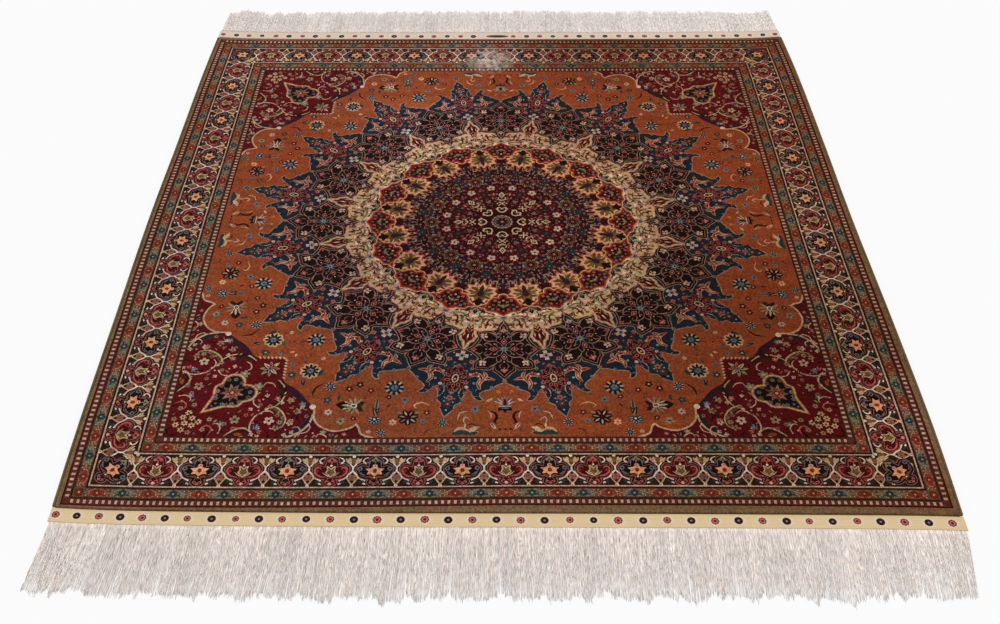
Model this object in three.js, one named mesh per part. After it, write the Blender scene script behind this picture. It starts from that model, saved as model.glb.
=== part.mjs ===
// Square knotted rug lying flat: a pile body, a flat-woven kilim band and a warp fringe at both ends,
// and an overcast cord down both sides. Millimetres, +Z up. X runs across the rug along its wefts,
// Y runs along its warps from the near end to the far end, and the floor is Z = 0.
import * as THREE from "three";

// Driving dimensions.
const REPEAT = 59; // one cartouche of the main border, the module that the whole design is counted in
const HALF_WIDTH = 10 * REPEAT; // centre line to the pile's side, at the corners
const HALF_LENGTH = 10.15 * REPEAT; // centre line to the pile's end, at the corners
const PILE_THICKNESS = 4.5; // foundation and clipped pile together
const PILE_ROUND = 1.2; // how the clipped pile rounds over at its edges
const CORD_WIDTH = 4.0; // overcast side cord
const CORD_THICKNESS = 4.0;
const CORD_ROUND = 1.4;
const NEAR_KILIM_WIDTH = 21.5; // flat-woven band at each end
const FAR_KILIM_WIDTH = 29;
const KILIM_THICKNESS = 1.8;
const KILIM_ROUND = 0.4;
const FRINGE_THICKNESS = 2.4; // loose warp ends lying in a mat
const FRINGE_ROOT = 9; // solid part of the fringe next to the kilim
const LOCKS = 80; // bundles of warp ends that the fringe parts into
const LOCK_GAP = 1.6; // gap between two locks at their tips
const GAP = 0.3; // clearance between neighbouring pieces
const CURVE_STEPS = 24; // straight pieces along each edge of the rug
const ROUND_STEPS = 2; // facets from the top face round to the side

// How far each side stands out past HALF_WIDTH. at: place along the rug, -1 near end, +1 far end.
const SIDE_BOW = [
  { at: -1.0, left: 1.5, right: 2.0 },
  { at: -0.75, left: 5.0, right: 7.0 },
  { at: -0.4, left: 6.5, right: 6.5 },
  { at: 0.0, left: 8.0, right: 3.5 },
  { at: 0.35, left: 5.0, right: 4.5 },
  { at: 0.75, left: 2.5, right: 4.0 },
  { at: 1.0, left: -2.0, right: -1.0 },
];

// How far each end of the pile stands out past HALF_LENGTH. at: place across the rug, -1 left, +1 right.
const END_BOW = [
  { at: -1.0, near: -12.0, far: 18.0 },
  { at: -0.85, near: -7.0, far: 11.0 },
  { at: -0.4, near: -2.0, far: 9.0 },
  { at: 0.3, near: 1.5, far: 8.5 },
  { at: 0.85, near: 5.5, far: 11.0 },
  { at: 1.0, near: 8.0, far: 18.0 },
];

// Fringe length, and how far its tips lie to the right of its roots. at: place across the rug.
const NEAR_FRINGE = [
  { at: -1.0, length: 104, lean: -5 },
  { at: -0.5, length: 105, lean: -3 },
  { at: 0.0, length: 104, lean: 0 },
  { at: 0.5, length: 103, lean: -4 },
  { at: 1.0, length: 102, lean: -17 },
];
const FAR_FRINGE = [
  { at: -1.0, length: 80, lean: 3 },
  { at: -0.4, length: 87, lean: 2 },
  { at: 0.2, length: 88, lean: 0 },
  { at: 0.7, length: 87, lean: -2 },
  { at: 1.0, length: 81, lean: -4 },
];

const SILK_PILE = { color: 0x5a3324, roughness: 0.75 };
const OVERCAST_SILK = { color: 0x6f6248, roughness: 0.8 };
const CREAM_WEFT = { color: 0xe3d3a4, roughness: 0.85 };
const UNDYED_WARP = { color: 0xd9d2cc, roughness: 0.9 };

// A column of a table as a smooth function of the place from -1 to +1.
function column(table, name) {
  const curve = new THREE.SplineCurve(table.map((row) => new THREE.Vector2(row.at, row[name])));
  const points = curve.getPoints(8 * table.length);
  return (at) => {
    const after = Math.max(1, points.findIndex((p) => p.x >= at));
    const [a, b] = [points[after - 1], points[after]];
    return a.y + ((b.y - a.y) * (at - a.x)) / (b.x - a.x);
  };
}

const sideBow = { left: column(SIDE_BOW, "left"), right: column(SIDE_BOW, "right") };
const endBow = { near: column(END_BOW, "near"), far: column(END_BOW, "far") };

// The pile's four edges. at runs from -1 to +1, and out is how far outside the pile the point lies.
const nearEdge = (at, out) => acrossPoint(at, -HALF_LENGTH - endBow.near(at) - out, -1);
const farEdge = (at, out) => acrossPoint(at, HALF_LENGTH + endBow.far(at) + out, 1);
const leftEdge = (at, out) => alongPoint(-HALF_WIDTH - sideBow.left(at) - out, at);
const rightEdge = (at, out) => alongPoint(HALF_WIDTH + sideBow.right(at) + out, at);

// A point of an end edge: its x runs between the two sides as they are at that end.
function acrossPoint(at, y, end) {
  const left = -HALF_WIDTH - sideBow.left(end);
  const right = HALF_WIDTH + sideBow.right(end);
  return new THREE.Vector2(THREE.MathUtils.lerp(left, right, (at + 1) / 2), y);
}

// A point of a side edge: its y runs between the two ends as they are at that side.
function alongPoint(x, at) {
  const side = Math.sign(x);
  const near = -HALF_LENGTH - endBow.near(side);
  const far = HALF_LENGTH + endBow.far(side);
  return new THREE.Vector2(x, THREE.MathUtils.lerp(near, far, (at + 1) / 2));
}

// Points along an edge from one place to another.
function run(edge, out, from = -1, to = 1, steps = CURVE_STEPS) {
  return Array.from({ length: steps + 1 }, (_, i) => edge(from + ((to - from) * i) / steps, out));
}

// A flat piece on the floor with this outline, its edges rounded over by round.
function slab(name, outline, thickness, round, material) {
  const geometry = new THREE.ExtrudeGeometry(new THREE.Shape(outline), {
    depth: thickness - 2 * round,
    bevelEnabled: round > 0,
    bevelThickness: round,
    bevelSize: round,
    bevelOffset: -round,
    bevelSegments: ROUND_STEPS,
  });
  const mesh = new THREE.Mesh(geometry, new THREE.MeshStandardMaterial(material));
  mesh.name = name;
  mesh.position.z = round;
  return mesh;
}

// The knotted body. Corner points come from the end edges, so each side leaves its own out.
function pile() {
  const outline = [
    ...run(nearEdge, 0),
    ...run(rightEdge, 0).slice(1, -1),
    ...run(farEdge, 0, 1, -1),
    ...run(leftEdge, 0, 1, -1).slice(1, -1),
  ];
  return slab("pile", outline, PILE_THICKNESS, PILE_ROUND, SILK_PILE);
}

// The cord wrapped over the outermost warps, beside the pile from end to end.
function sideCord(name, edge) {
  const outline = [...run(edge, GAP), ...run(edge, GAP + CORD_WIDTH, 1, -1)];
  return slab(name, outline, CORD_THICKNESS, CORD_ROUND, OVERCAST_SILK);
}

// The weft-faced band past the pile. It reaches past the pile's corners, over the ends of the side cords.
function kilim(name, edge, width) {
  const corner = (end, out) => edge(end, out).add(new THREE.Vector2(end * CORD_WIDTH, 0));
  const span = (out) => [corner(-1, out), ...run(edge, out), corner(1, out)];
  const outline = [...span(GAP), ...span(GAP + width).reverse()];
  return slab(name, outline, KILIM_THICKNESS, KILIM_ROUND, CREAM_WEFT);
}

// The warp ends past the kilim, as one comb: a root strip that parts into locks of uneven length.
function fringe(name, edge, kilimWidth, table) {
  const length = column(table, "length");
  const lean = column(table, "lean");
  const root = 2 * GAP + kilimWidth;
  const uneven = (i) => 3 * Math.sin(2.4 * i) + 2 * Math.sin(5.1 * i + 1);
  const point = (at, past) => {
    const share = past / length(at);
    return edge(at, root + past).add(new THREE.Vector2(lean(at) * share * share, 0));
  };
  const outline = run(edge, root);
  const lockStep = 2 / LOCKS;
  const gapShare = LOCK_GAP / HALF_WIDTH / 2;
  for (let i = LOCKS - 1; i >= 0; i--) {
    const from = -1 + i * lockStep;
    const to = from + lockStep;
    const reach = length(from + lockStep / 2) + uneven(i);
    outline.push(point(to - gapShare, reach * 0.96), point(from + lockStep * 0.6, reach));
    outline.push(point(from + gapShare, reach * 0.95));
    if (i > 0) outline.push(point(from, FRINGE_ROOT));
  }
  return slab(name, outline, FRINGE_THICKNESS, 0, UNDYED_WARP);
}

const rug = new THREE.Group();
rug.add(
  pile(),
  sideCord("side_cord_left", leftEdge),
  sideCord("side_cord_right", rightEdge),
  kilim("kilim_near", nearEdge, NEAR_KILIM_WIDTH),
  kilim("kilim_far", farEdge, FAR_KILIM_WIDTH),
  fringe("fringe_near", nearEdge, NEAR_KILIM_WIDTH, NEAR_FRINGE),
  fringe("fringe_far", farEdge, FAR_KILIM_WIDTH, FAR_FRINGE),
);

// The origin is the middle of the whole rug's footprint on the floor.
const middle = new THREE.Box3().setFromObject(rug, true).getCenter(new THREE.Vector3());
rug.position.set(-middle.x, -middle.y, 0);

export default rug;
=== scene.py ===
"""The looks of a square knotted silk rug lying flat: pile, kilim bands, overcast sides and fringes.

The pile is cut from a knotting chart. Each motif is a few outlines in hundredths of a cartouche of the
main border, and the chart is laid over the uneven outline of the CAD pile."""
import math

import bmesh
import bpy
import numpy as np
from mathutils import Matrix, Vector
from mathutils.geometry import delaunay_2d_cdt


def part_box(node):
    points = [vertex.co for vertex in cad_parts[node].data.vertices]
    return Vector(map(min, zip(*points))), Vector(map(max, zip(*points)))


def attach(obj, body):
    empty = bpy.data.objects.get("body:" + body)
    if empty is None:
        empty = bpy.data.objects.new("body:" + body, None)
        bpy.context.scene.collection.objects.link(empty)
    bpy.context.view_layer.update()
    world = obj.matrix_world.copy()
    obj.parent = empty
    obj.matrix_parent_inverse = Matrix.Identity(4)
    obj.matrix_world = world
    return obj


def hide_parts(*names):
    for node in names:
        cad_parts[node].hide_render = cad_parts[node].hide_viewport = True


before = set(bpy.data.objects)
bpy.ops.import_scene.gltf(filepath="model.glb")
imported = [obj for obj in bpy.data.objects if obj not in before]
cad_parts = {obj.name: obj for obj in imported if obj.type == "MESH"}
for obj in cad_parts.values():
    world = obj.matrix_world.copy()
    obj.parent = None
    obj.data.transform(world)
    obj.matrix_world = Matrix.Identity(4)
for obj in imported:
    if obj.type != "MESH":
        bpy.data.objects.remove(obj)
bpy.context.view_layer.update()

MM = 0.001
REPEAT = 59 * MM  # one cartouche of the main border
UNIT = REPEAT / 100  # what the charts are drawn in
FIELD = 800  # half side of the square field, in those units
HALF_X, HALF_Y = 10.0, 10.15  # half size of the whole chart, in cartouches
CHART_CENTRE = (-0.35 * MM, -5.0 * MM)  # the medallion's centre, from the middle of the pile's box
PILE_ROUND = 1.2 * MM  # how the clipped pile rounds over at its edges
GAP = 0.3 * MM  # between the pile and what is sewn along it
rng = np.random.default_rng(7)

YARNS = {
    "ink": 0x1a0b09, "umber": 0x2c170f, "wine": 0x270806, "maroon": 0x3c0c0b, "crimson": 0x520c0f,
    "red": 0x7c2217, "rust": 0x8a3c1d, "orange": 0x843f22, "amber": 0xb0602c, "peach": 0xc48f68,
    "gold": 0xb88a66, "bronze": 0x70491f, "tan": 0x8d6c54, "sand": 0xb1906f, "ivory": 0xccb3a0,
    "pink": 0xc08a7c, "rose": 0x9a5048, "plum": 0x2e1522, "navy": 0x1b2029, "slate": 0x5c6068,
    "sky": 0x7f898c, "teal": 0x1d3436, "sage": 0x77735a, "moss": 0x4a3a24, "olive": 0x5e4a2c,
    "khaki": 0x735a3f, "earth": 0x5b402f, "shell": 0xb28f7c, "mauve": 0x78564f, "brick": 0x50291f,
    "russet": 0x6b3626, "lichen": 0x5c5746,
}


# ---- outlines and motifs

# A motif is a list of (outline, yarn) pairs laid over each other, the lowest first. Lengths are in
# units of a hundredth of a cartouche, and a motif's own +y points away from the rug's centre.


def circle(radius, steps=8, at=(0, 0)):
    angles = np.arange(steps) * 2 * math.pi / steps + math.pi / steps
    return np.column_stack([at[0] + radius * np.cos(angles), at[1] + radius * np.sin(angles)])


def oval(width, height, steps=10, at=(0, 0)):
    return circle(0.5, steps) * (width, height) + at


def box(width, height, at=(0, 0)):
    return np.array([(-1, -1), (1, -1), (1, 1), (-1, 1)]) * (width / 2, height / 2) + at


def petals(count, radius, depth=0.35, turn=0.0):
    """A flower outline: each petal has two points at its round end and one in the notch beside it."""
    step = 2 * math.pi / count
    outline = []
    for k in range(count):
        middle = k * step + math.radians(turn) + math.pi / 2
        for offset, reach in ((-0.5, 1 - depth), (-0.22, 1), (0.22, 1)):
            angle = middle + offset * step
            outline.append((radius * reach * math.cos(angle), radius * reach * math.sin(angle)))
    return np.array(outline)


def star(count, radius, depth=0.5, turn=0.0):
    """A pointed star."""
    outline = []
    for k in range(2 * count):
        angle = math.pi / 2 + math.radians(turn) + k * math.pi / count
        reach = radius * (1 - depth * (k % 2))
        outline.append((reach * math.cos(angle), reach * math.sin(angle)))
    return np.array(outline)


def curve(points, steps=3, closed=False):
    """A smooth curve through the points (Catmull-Rom)."""
    p = np.asarray(points, float)
    if closed:
        ring = np.vstack([p[-1:], p, p[:2]])
    else:
        ring = np.vstack([2 * p[0] - p[1], p, 2 * p[-1] - p[-2]])
    out = []
    for a, b, c, d in zip(ring, ring[1:], ring[2:], ring[3:]):
        for t in np.arange(steps) / steps:
            out.append(
                0.5 * (2 * b + (c - a) * t + (2 * a - 5 * b + 4 * c - d) * t**2
                       + (3 * b - a - 3 * c + d) * t**3)
            )
    if not closed:
        out.append(p[-1])
    return np.array(out)


def stroke(points, width, steps=3, tips=(0.2, 0.2)):
    """A line of yarn along a smooth curve, drawn in to a share of its width at each end."""
    path = curve(points, steps) if len(points) > 2 else np.asarray(points, float)
    along = np.gradient(path, axis=0)
    along /= np.linalg.norm(along, axis=1)[:, None] + 1e-12
    side = np.column_stack([along[:, 1], -along[:, 0]])
    t = np.linspace(0, 1, len(path))
    swell = np.sin(math.pi * t)
    half = width / 2 * np.maximum(swell**0.5, tips[0] * (1 - t) + tips[1] * t)[:, None]
    return np.vstack([path + side * half, (path - side * half)[::-1]])


def leaf(length, width, bend=0.0):
    """A pointed leaf from (0, 0) to (0, length), its middle pushed sideways by bend."""
    t = np.linspace(0, 1, 7)
    spine = bend * 4 * t * (1 - t)
    half = width / 2 * np.sin(math.pi * t**0.8) ** 0.8
    right = np.column_stack([spine + half, t * length])
    left = np.column_stack([spine - half, t * length])
    return np.vstack([right, left[-2:0:-1]])


def blade(*layers):
    """Straight leaves laid over each other: length, width, yarn, length, width, yarn, ..."""
    return [(leaf(*layers[k:k + 2]), layers[k + 2]) for k in range(0, len(layers), 3)]


def mirrored(half):
    """A closed outline from its right half, which runs from its top on the axis to its foot."""
    half = np.asarray(half, float)
    other = half[::-1] * (-1, 1)
    keep = np.abs(other[:, 0]) > 1e-6
    return np.vstack([half, other[keep]])


def inset(outline, by):
    """The outline moved inwards by a width, whichever way round it runs."""
    p = np.asarray(outline, float)
    q = np.roll(p, -1, axis=0)
    way = np.sign((p[:, 0] * q[:, 1] - p[:, 1] * q[:, 0]).sum())
    edge = q - p
    edge /= np.linalg.norm(edge, axis=1)[:, None] + 1e-12
    normal = way * np.column_stack([-edge[:, 1], edge[:, 0]])
    both = normal + np.roll(normal, 1, axis=0)
    share = np.maximum((both**2).sum(axis=1), 0.9)[:, None]
    return p + 2 * both / share * by


def banded(outline, *bands):
    """The outline in bands from its edge inwards: yarn, width, yarn, width, ..., yarn of the middle."""
    motif = [(np.asarray(outline, float), bands[0])]
    depth = 0
    for width, yarn in zip(bands[1::2], bands[2::2]):
        depth += width
        motif.append((inset(outline, depth), yarn))
    return motif


def put(motif, at=(0, 0), turn=0.0, size=1.0, flip=False):
    """A copy of the motif at a place, turned anticlockwise by degrees, scaled, and flipped left to right."""
    c, s = math.cos(math.radians(turn)), math.sin(math.radians(turn))
    scale = np.array([-size if flip else size, size])
    return [((o * scale) @ np.array([[c, s], [-s, c]]) + at, yarn) for o, yarn in motif]


def pair(motif, at=(0, 0), turn=0.0):
    """The motif at a place on the right, and its mirror image on the left."""
    right = put(motif, at, turn)
    return right + [(o * (-1, 1), yarn) for o, yarn in right]


def ray(motif, radius, degrees, size=1.0, flip=False):
    """The motif on a ray from the centre, its +y outwards. Degrees are clockwise from +y."""
    a = math.radians(degrees)
    return put(motif, (radius * math.sin(a), radius * math.cos(a)), -degrees, size, flip)


def wreath(motifs, radius, angles):
    """Motifs taken in turn, each on a ray at its angle."""
    return sum((ray(motifs[k % len(motifs)], radius, angle) for k, angle in enumerate(angles)), [])


def turns(count, first=0):
    """Angles at equal steps all round."""
    return [first + 360 / count * k for k in range(count)]


def line(points, width, yarn, steps=2, tips=(0.2, 0.2)):
    return [(stroke(points, width, steps, tips), yarn)]


def dot(radius, yarn, at=(0, 0), steps=6):
    return [(circle(radius, steps, at), yarn)]


def rosette(count, radius, rim, petal, heart, depth, heart_share):
    """A round flower: its outline, its petals and its heart."""
    return [(petals(count, radius * 1.2, depth * 0.8), rim), (petals(count, radius, depth), petal),
            (circle(radius * heart_share, 6), heart)]


def blossom(radius, petal, heart, count=5):
    return [(petals(count, radius, 0.4), petal), (circle(radius * 0.32, 5), heart)]


def trefoil(size, petal, heart=None):
    """Three round leaves on a short stem, pointing to +y."""
    lobes = [(0, 0.62, 0.34), (0.42, 0.22, 0.3), (-0.42, 0.22, 0.3)]
    motif = [(circle(r * size, 6, (x * size, y * size)), petal) for x, y, r in lobes]
    motif.append((box(0.22 * size, 0.7 * size, (0, -0.1 * size)), petal))
    return motif + ([(circle(0.2 * size, 5, (0, 0.3 * size)), heart)] if heart else [])


def strewn(area, banned, taken, flowers, gap, throws, seed):
    """Small motifs thrown at random inside an outline, clear of the banned outlines and of each other.

    taken has the x, y and radius of round places to keep clear. flowers has each motif after its radius."""
    rng = np.random.default_rng(seed)
    places = rng.uniform(area.min(axis=0), area.max(axis=0), (throws, 2))
    turns = rng.uniform(0, 360, throws)
    free = inside(places, area)
    for outline in banned:
        free &= ~inside(places, outline)
    motif, used = [], list(taken)
    for (x, y), turn in zip(places[free], turns[free]):
        room, flower = flowers[len(used) % len(flowers)]
        if all(math.hypot(x - a, y - b) > room + r + gap for a, b, r in used):
            used.append((x, y, room))
            motif += put(flower, (x, y), turn)
    return motif


# ---- border cells

# A border cell is drawn with +y towards the rug's centre, and repeats along x.
MAIN_HEIGHT = 95
MAIN_LINE = 3.5  # the pale line along each edge of the main border
GUARD_WIDTH, GUARD_HEIGHT = 60, 26


def cartouche():
    """The lobed outline that holds each flower of the main border."""
    crown = curve([(0, 44), (9, 40), (17, 33), (20, 20)], 2)
    shoulder = curve([(20, 20), (30, 22), (42, 14), (44, 2), (36, -17), (27, -23), (15, -25)], 2)
    foot = curve([(15, -25), (18, -33), (10, -43), (0, -45)], 2)
    return mirrored(np.vstack([crown[:-1], shoulder[:-1], foot]))


def peach_flower():
    """The wide star flower of the darkest cartouches, with its stem and side buds."""
    motif = pair(banded(oval(13, 12, 7), "slate", 2.8, "navy"), (34.5, 6))
    motif += pair(line([(6, 33), (15, 25), (13, 16)], 2.6, "slate"))
    motif += pair(line([(20, -12), (27, -10), (33, -3)], 3, "slate"))
    motif += pair(line([(3, -20), (9, -15), (20, -17)], 3, "rust"))
    star_edge = [(-22, 6), (-10, 7.5), (0, 14), (10, 7.5), (22, 6), (14, -1), (18, -10), (7, -9), (0, -17),
                 (-7, -9), (-18, -10), (-14, -1)]
    motif += [(np.array(star_edge), "peach"), (oval(11, 13, 7), "red")]
    motif += banded(oval(12, 10, 7, (0, 14)), "pink", 3.2, "red") + put(trefoil(13, "sage", "ink"), (0, 27))
    motif += put(blade(13, 6, "teal"), (0, -27)) + dot(2.2, "ivory", (0, -19), 5)
    return motif + pair(line([(1.5, -33), (7, -31), (11, -36)], 3, "rose")) + dot(4, "rose", (0, -37))


def tulip_flower():
    """The upright tulip of the red cartouches, between two scrolls."""
    motif = pair(line([(12, -16), (24, -15), (35, -6), (36, 6), (27, 10), (23, 4)], 4.2, "rose"))
    motif += pair(dot(4, "red"), (30, 0))
    tulip = [(0, 7), (5, 12), (11, 13), (9, 2), (13, -5), (6, -12), (0, -20)]
    motif += banded(mirrored(curve(tulip, 2)), "sand", 2.8, "olive")
    motif += pair(line([(3, -16), (10, -12), (19, -4)], 2.8, "sand")) + dot(3, "bronze", (0, -3))
    motif += dot(3.2, "ivory", (0, 15)) + put(trefoil(15, "rose", "wine"), (0, 25))
    return motif + pair(line([(2, -30), (8, -28), (12, -35)], 3.4, "rose")) + dot(4.5, "pink", (0, -36))


def between_cartouches():
    """Half of what stands between two cartouches, drawn on the seam at x = 50."""
    motif = line([(50, 10), (44, 18), (40, 25)], 3.4, "ivory", tips=(1, 0.8))
    wing = [(40.5, 20), (33, 27), (31.5, 36), (37, 33), (40, 38), (45, 33), (47, 22)]
    cup = [(43.5, 36), (56.5, 36), (55, 26), (50, 15), (45, 26)]
    motif += [(curve(wing, 2, closed=True), "sand"), (np.array(cup), "olive")]
    motif += [(oval(6, 10, 6, (50, 27)), "rust")] + dot(4.2, "ivory", (50, 41))
    motif += [(box(4, 13, (50, 5)), "ivory")]
    motif += line([(50, -1), (44, -7), (39, -15), (34, -20), (20, -28)], 4.2, "ivory", tips=(1, 0.9))
    motif += line([(37, -19), (42, -27), (46, -34), (50, -38)], 3.4, "sand", tips=(1, 1))
    motif += put(trefoil(9, "teal"), (29, -34), 25)
    motif += line([(19, -38), (23, -35), (25, -37)], 4, "ivory", tips=(0.8, 0.8))
    motif += [(oval(19, 25, 9, (50, -19)), "umber")]
    motif += put([(petals(4, 11.5, 0.45, 45), "mauve"), (circle(5, 5), "rust")], (50, -19))
    motif += dot(4.5, "ivory", (50, -42)) + dot(1.8, "rust", (50, -42), 5)
    motif += line([(16, 38.5), (24, 35), (28, 28), (24, 23.5)], 3.4, "ivory", tips=(0.5, 1))
    return motif + dot(3.4, "ivory", (24, 22))


def border_cell(band, interior, flower):
    """One repeat of the main border."""
    chart = [(box(100, MAIN_HEIGHT), "umber")] + pair(between_cartouches())
    chart += banded(cartouche(), "mauve", 1.8, band, 4.5, "mauve", 1.4, interior) + flower()
    for end in (-1, 1):
        chart.append((box(100, MAIN_LINE, (0, end * (MAIN_HEIGHT - MAIN_LINE) / 2)), "shell"))
    return chart


def guard_cell(petal, heart, patch, radius):
    """One repeat of a guard stripe: a rosette on a wide patch, and a trellis of fine lines."""
    chart = [(box(GUARD_WIDTH, GUARD_HEIGHT), "earth")]
    half = GUARD_WIDTH / 2
    chart.append((np.array([(-28, 2), (-17, 11.8), (19, 11.8), (29, -2), (17, -11.8), (-19, -11.8)]), patch))
    for side in (-1, 1):
        chart += pair(line([(5, side * 11), (half - 10, side * 4), (half, 0)], 1.6, "tan", 1, (1, 1)))
        chart += pair(dot(1.8, "sand", steps=4), (half - 5, side * 7.5))
        chart += pair(dot(1.6, heart, steps=4), (19, side * 2))
        chart.append((box(GUARD_WIDTH, 1.2, (0, side * 11.8)), "umber"))
    chart += pair(blade(10, 4.5, petal), (9, -3), -110)
    return chart + rosette(6, radius, "umber", petal, heart, 0.35, 0.32)


def tooth_cell(width, height, ground):
    """One repeat of a dotted stripe: a small cream tooth."""
    return [(box(width, height), ground), (box(width * 0.42, height * 0.64), "shell")]


# ---- medallion

RAYS = 16  # the medallion repeats on 16 rays, and its innermost part on every second one
RAY_STEP = 360 / RAYS
HALF_RAY = RAY_STEP / 2
MEDALLION_SEAM = 390  # the circle on which its two pieces meet


def polar(points):
    """Points given as (radius, degrees clockwise from +y)."""
    p = np.asarray(points, float)
    a = np.radians(p[:, 1])
    return np.column_stack([p[:, 0] * np.sin(a), p[:, 0] * np.cos(a)])


def across(points):
    """An outline from ray to ray: the given points, then their mirror image in the half ray."""
    p = np.asarray(points, float)
    a = math.radians(2 * HALF_RAY)
    mirror = np.array([[-math.cos(a), math.sin(a)], [math.sin(a), math.cos(a)]])
    image = (p @ mirror.T)[::-1]
    return np.vstack([p, image[1:]])


def medallion_edge():
    """The medallion's outer edge from ray to ray: a notch on the ray, a hook, and a point between."""
    notch = curve([(0, 629), (17, 638), (33, 650), (50, 657), (61, 668), (50, 686)])
    hook = curve([(50, 686), (64, 689), (77, 678), (84, 660)])
    side = curve([(84, 660), (95, 663), (103, 682), (108, 695), (120, 702), (124, 715),
                  (132, 725), polar([(756, HALF_RAY)])[0]])
    return across(np.vstack([notch[:-1], hook[:-1], side]))


def folded(motif):
    """The motif and its mirror image in the half ray."""
    a = math.radians(RAY_STEP)
    mirror = np.array([[-math.cos(a), math.sin(a)], [math.sin(a), math.cos(a)]])
    return motif + [(o @ mirror.T, yarn) for o, yarn in motif]


def roundel():
    """The centre of the medallion."""
    motif = [(petals(16, 31, 0.12), "tan"), (circle(25.5, 20), "navy"), (circle(22, 16), "mauve"),
             (circle(19, 16), "ink")]
    for angle in turns(8):
        motif += dot(2.6, "slate", polar([(15.5, angle)])[0], 5)
    return motif + [(petals(8, 10, 0.3), "maroon"), (circle(5, 6), "rose")]


def horseshoe():
    """A small cream heart, its closed end towards the centre."""
    shoe = [(0, -15), (10, -10), (15, 0), (14, 9), (7, 12), (0, 5)]
    inner = [(0, -11), (7, -7), (11, 1), (9.5, 6.5), (6, 8), (0, 0)]
    motif = [(mirrored(curve(shoe, 2)), "sand"), (mirrored(inner), "ink")]
    return motif + pair(dot(2, "tan", steps=4), (5, 1))


def diamond_chain():
    """The chain of crossed lines and a diamond that follows a heart."""
    motif = pair(line([(10, -22), (-9, -4)], 3.6, "sand", 1, (1, 1)))
    motif += pair(dot(3, "sand", steps=5), (13, -12)) + pair(dot(2.6, "mauve", steps=4), (20, -2))
    motif += pair(line([(0, 0), (12, 8), (9, 17)], 3.6, "sand", 1, (1, 1)))
    motif += pair(line([(14, 2), (19, 10), (15, 18)], 2.6, "rose", 1, (1, 1)))
    diamond = np.array([(0, 43), (10, 28), (0, 13), (-10, 28)])
    return motif + banded(diamond, "sand", 3.8, "ink") + dot(2.6, "sand", (0, 28), 4)


def ray_rosette():
    """The large star rosette on a ray."""
    motif = [(star(8, 30, 0.25), "ink")]
    for angle in turns(8):
        motif += ray(blade(18, 8, "tan", 14, 5, "maroon"), 9, angle)
        motif += dot(2.2, "mauve", polar([(20, angle + 22.5)])[0], 4)
    return motif + [(petals(8, 10, 0.3), "maroon"), (circle(4.5, 6), "rose")]


def teal_rosette():
    motif = [(petals(8, 15, 0.25), "ink"), (petals(8, 12.5, 0.35), "teal")]
    return motif + [(circle(7, 6), "ink"), (circle(3, 5), "slate")]


def crescent():
    """A small cream flower cup, open outwards."""
    motif = [(mirrored(curve([(0, -9), (9, -6), (10, 3), (6, 10)], 2)), "tan")]
    return motif + [(mirrored([(0, 12), (3.5, 7), (4.5, 1), (0, -3)]), "maroon")]


def gold_palmette():
    """The gold-edged palmette between two rays: jagged lobes, drawn in to a neck outwards."""
    lobes = [(0, -47), (8, -35), (21, -44), (22, -31), (40, -30), (34, -17), (44, -6),
             (33, 2), (36, 13), (20, 20), (15, 34), (7, 42), (0, 50)]
    motif = banded(mirrored(lobes), "rust", 2.5, "peach", 4, "gold", 2.2, "bronze")
    motif += pair(blade(27, 13, "moss"), (5, 0), -60) + pair(blade(25, 10, "moss"), (5, -5), -130)
    motif += put(wreath([blade(20, 3.5, "gold")], 13, (-155, -110, -65, 65, 110, 155)), (0, -4))
    motif += put(blade(30, 10, "umber", 20, 4, "plum"), (0, -4), 180)
    motif += [(oval(17, 24, 8, (0, -2)), "plum"), (oval(7, 12, 6, (0, -3)), "navy")]
    motif += put(blade(34, 17, "ink"), (0, 13)) + pair(blade(16, 8, "ink"), (3, 24), -55)
    return motif


def red_palmette():
    """The crimson palmette on a ray, widest at its side tips, with a small point outwards."""
    side = [(0, -46), (10, -43), (14, -33), (26, -34), (36, -24), (42, -10), (68, 0),
            (48, 10), (42, 21), (20, 25), (0, 39)]
    motif = banded(mirrored(side), "peach", 2.6, "rust", 4.2, "crimson", 5, "ink", 2.2, "wine")
    motif += pair(dot(3.5, "rose", steps=4), (43, 0))
    for x, y, petal in ((10, -14, "mauve"), (20, -20, "rose"), (24, -4, "olive"), (34, 3, "mauve"),
                        (13, 12, "rose"), (26, 11, "slate")):
        motif += pair([(star(4, 5.5, 0.4, 45), petal)], (x, y))
    motif += pair(line([(0, 24), (12, 18), (18, 4), (10, -7)], 2.8, "red"))
    motif += pair(blade(16, 5, "sage"), (2, 2), -125)
    motif += [(star(6, 9, 0.45), "olive")] + dot(3.5, "tan", (0, 0), 5)
    return motif + dot(3.5, "sand", (0, -20), 5) + dot(3, "rose", (0, 17), 5)


def fan():
    """The dark fan under a gold palmette."""
    motif = pair(blade(32, 15, "umber", 20, 5, "slate"), (2, 0), -52)
    motif += blade(30, 17, "ink", 22, 6, "olive")
    motif += pair(blade(25, 5, "sage"), (1, 4), -28) + pair(dot(3, "ivory", steps=5), (7, -2))
    return motif + blossom(7, "plum", "rose")[:1] + dot(3, "rose", (0, 0), 5)


def almond():
    """The pointed leaf that hangs from the cream cloud between two rays."""
    side = [(0, -40), (19, -36), (20, -22), (27, -10), (22, 2), (20, 10), (12, 16), (9, 28),
            (0, 47)]
    motif = banded(mirrored(side), "tan", 2.2, "sand", 5, "rust", 2.2, "umber")
    motif += pair(blade(30, 8, "maroon"), (4, -24), -12) + pair(blade(16, 3, "shell"), (10, -20), -8)
    return motif + put(trefoil(16, "ink"), (0, -36)) + put(blade(30, 7, "red", 20, 3, "ivory"), (0, -16))


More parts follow.
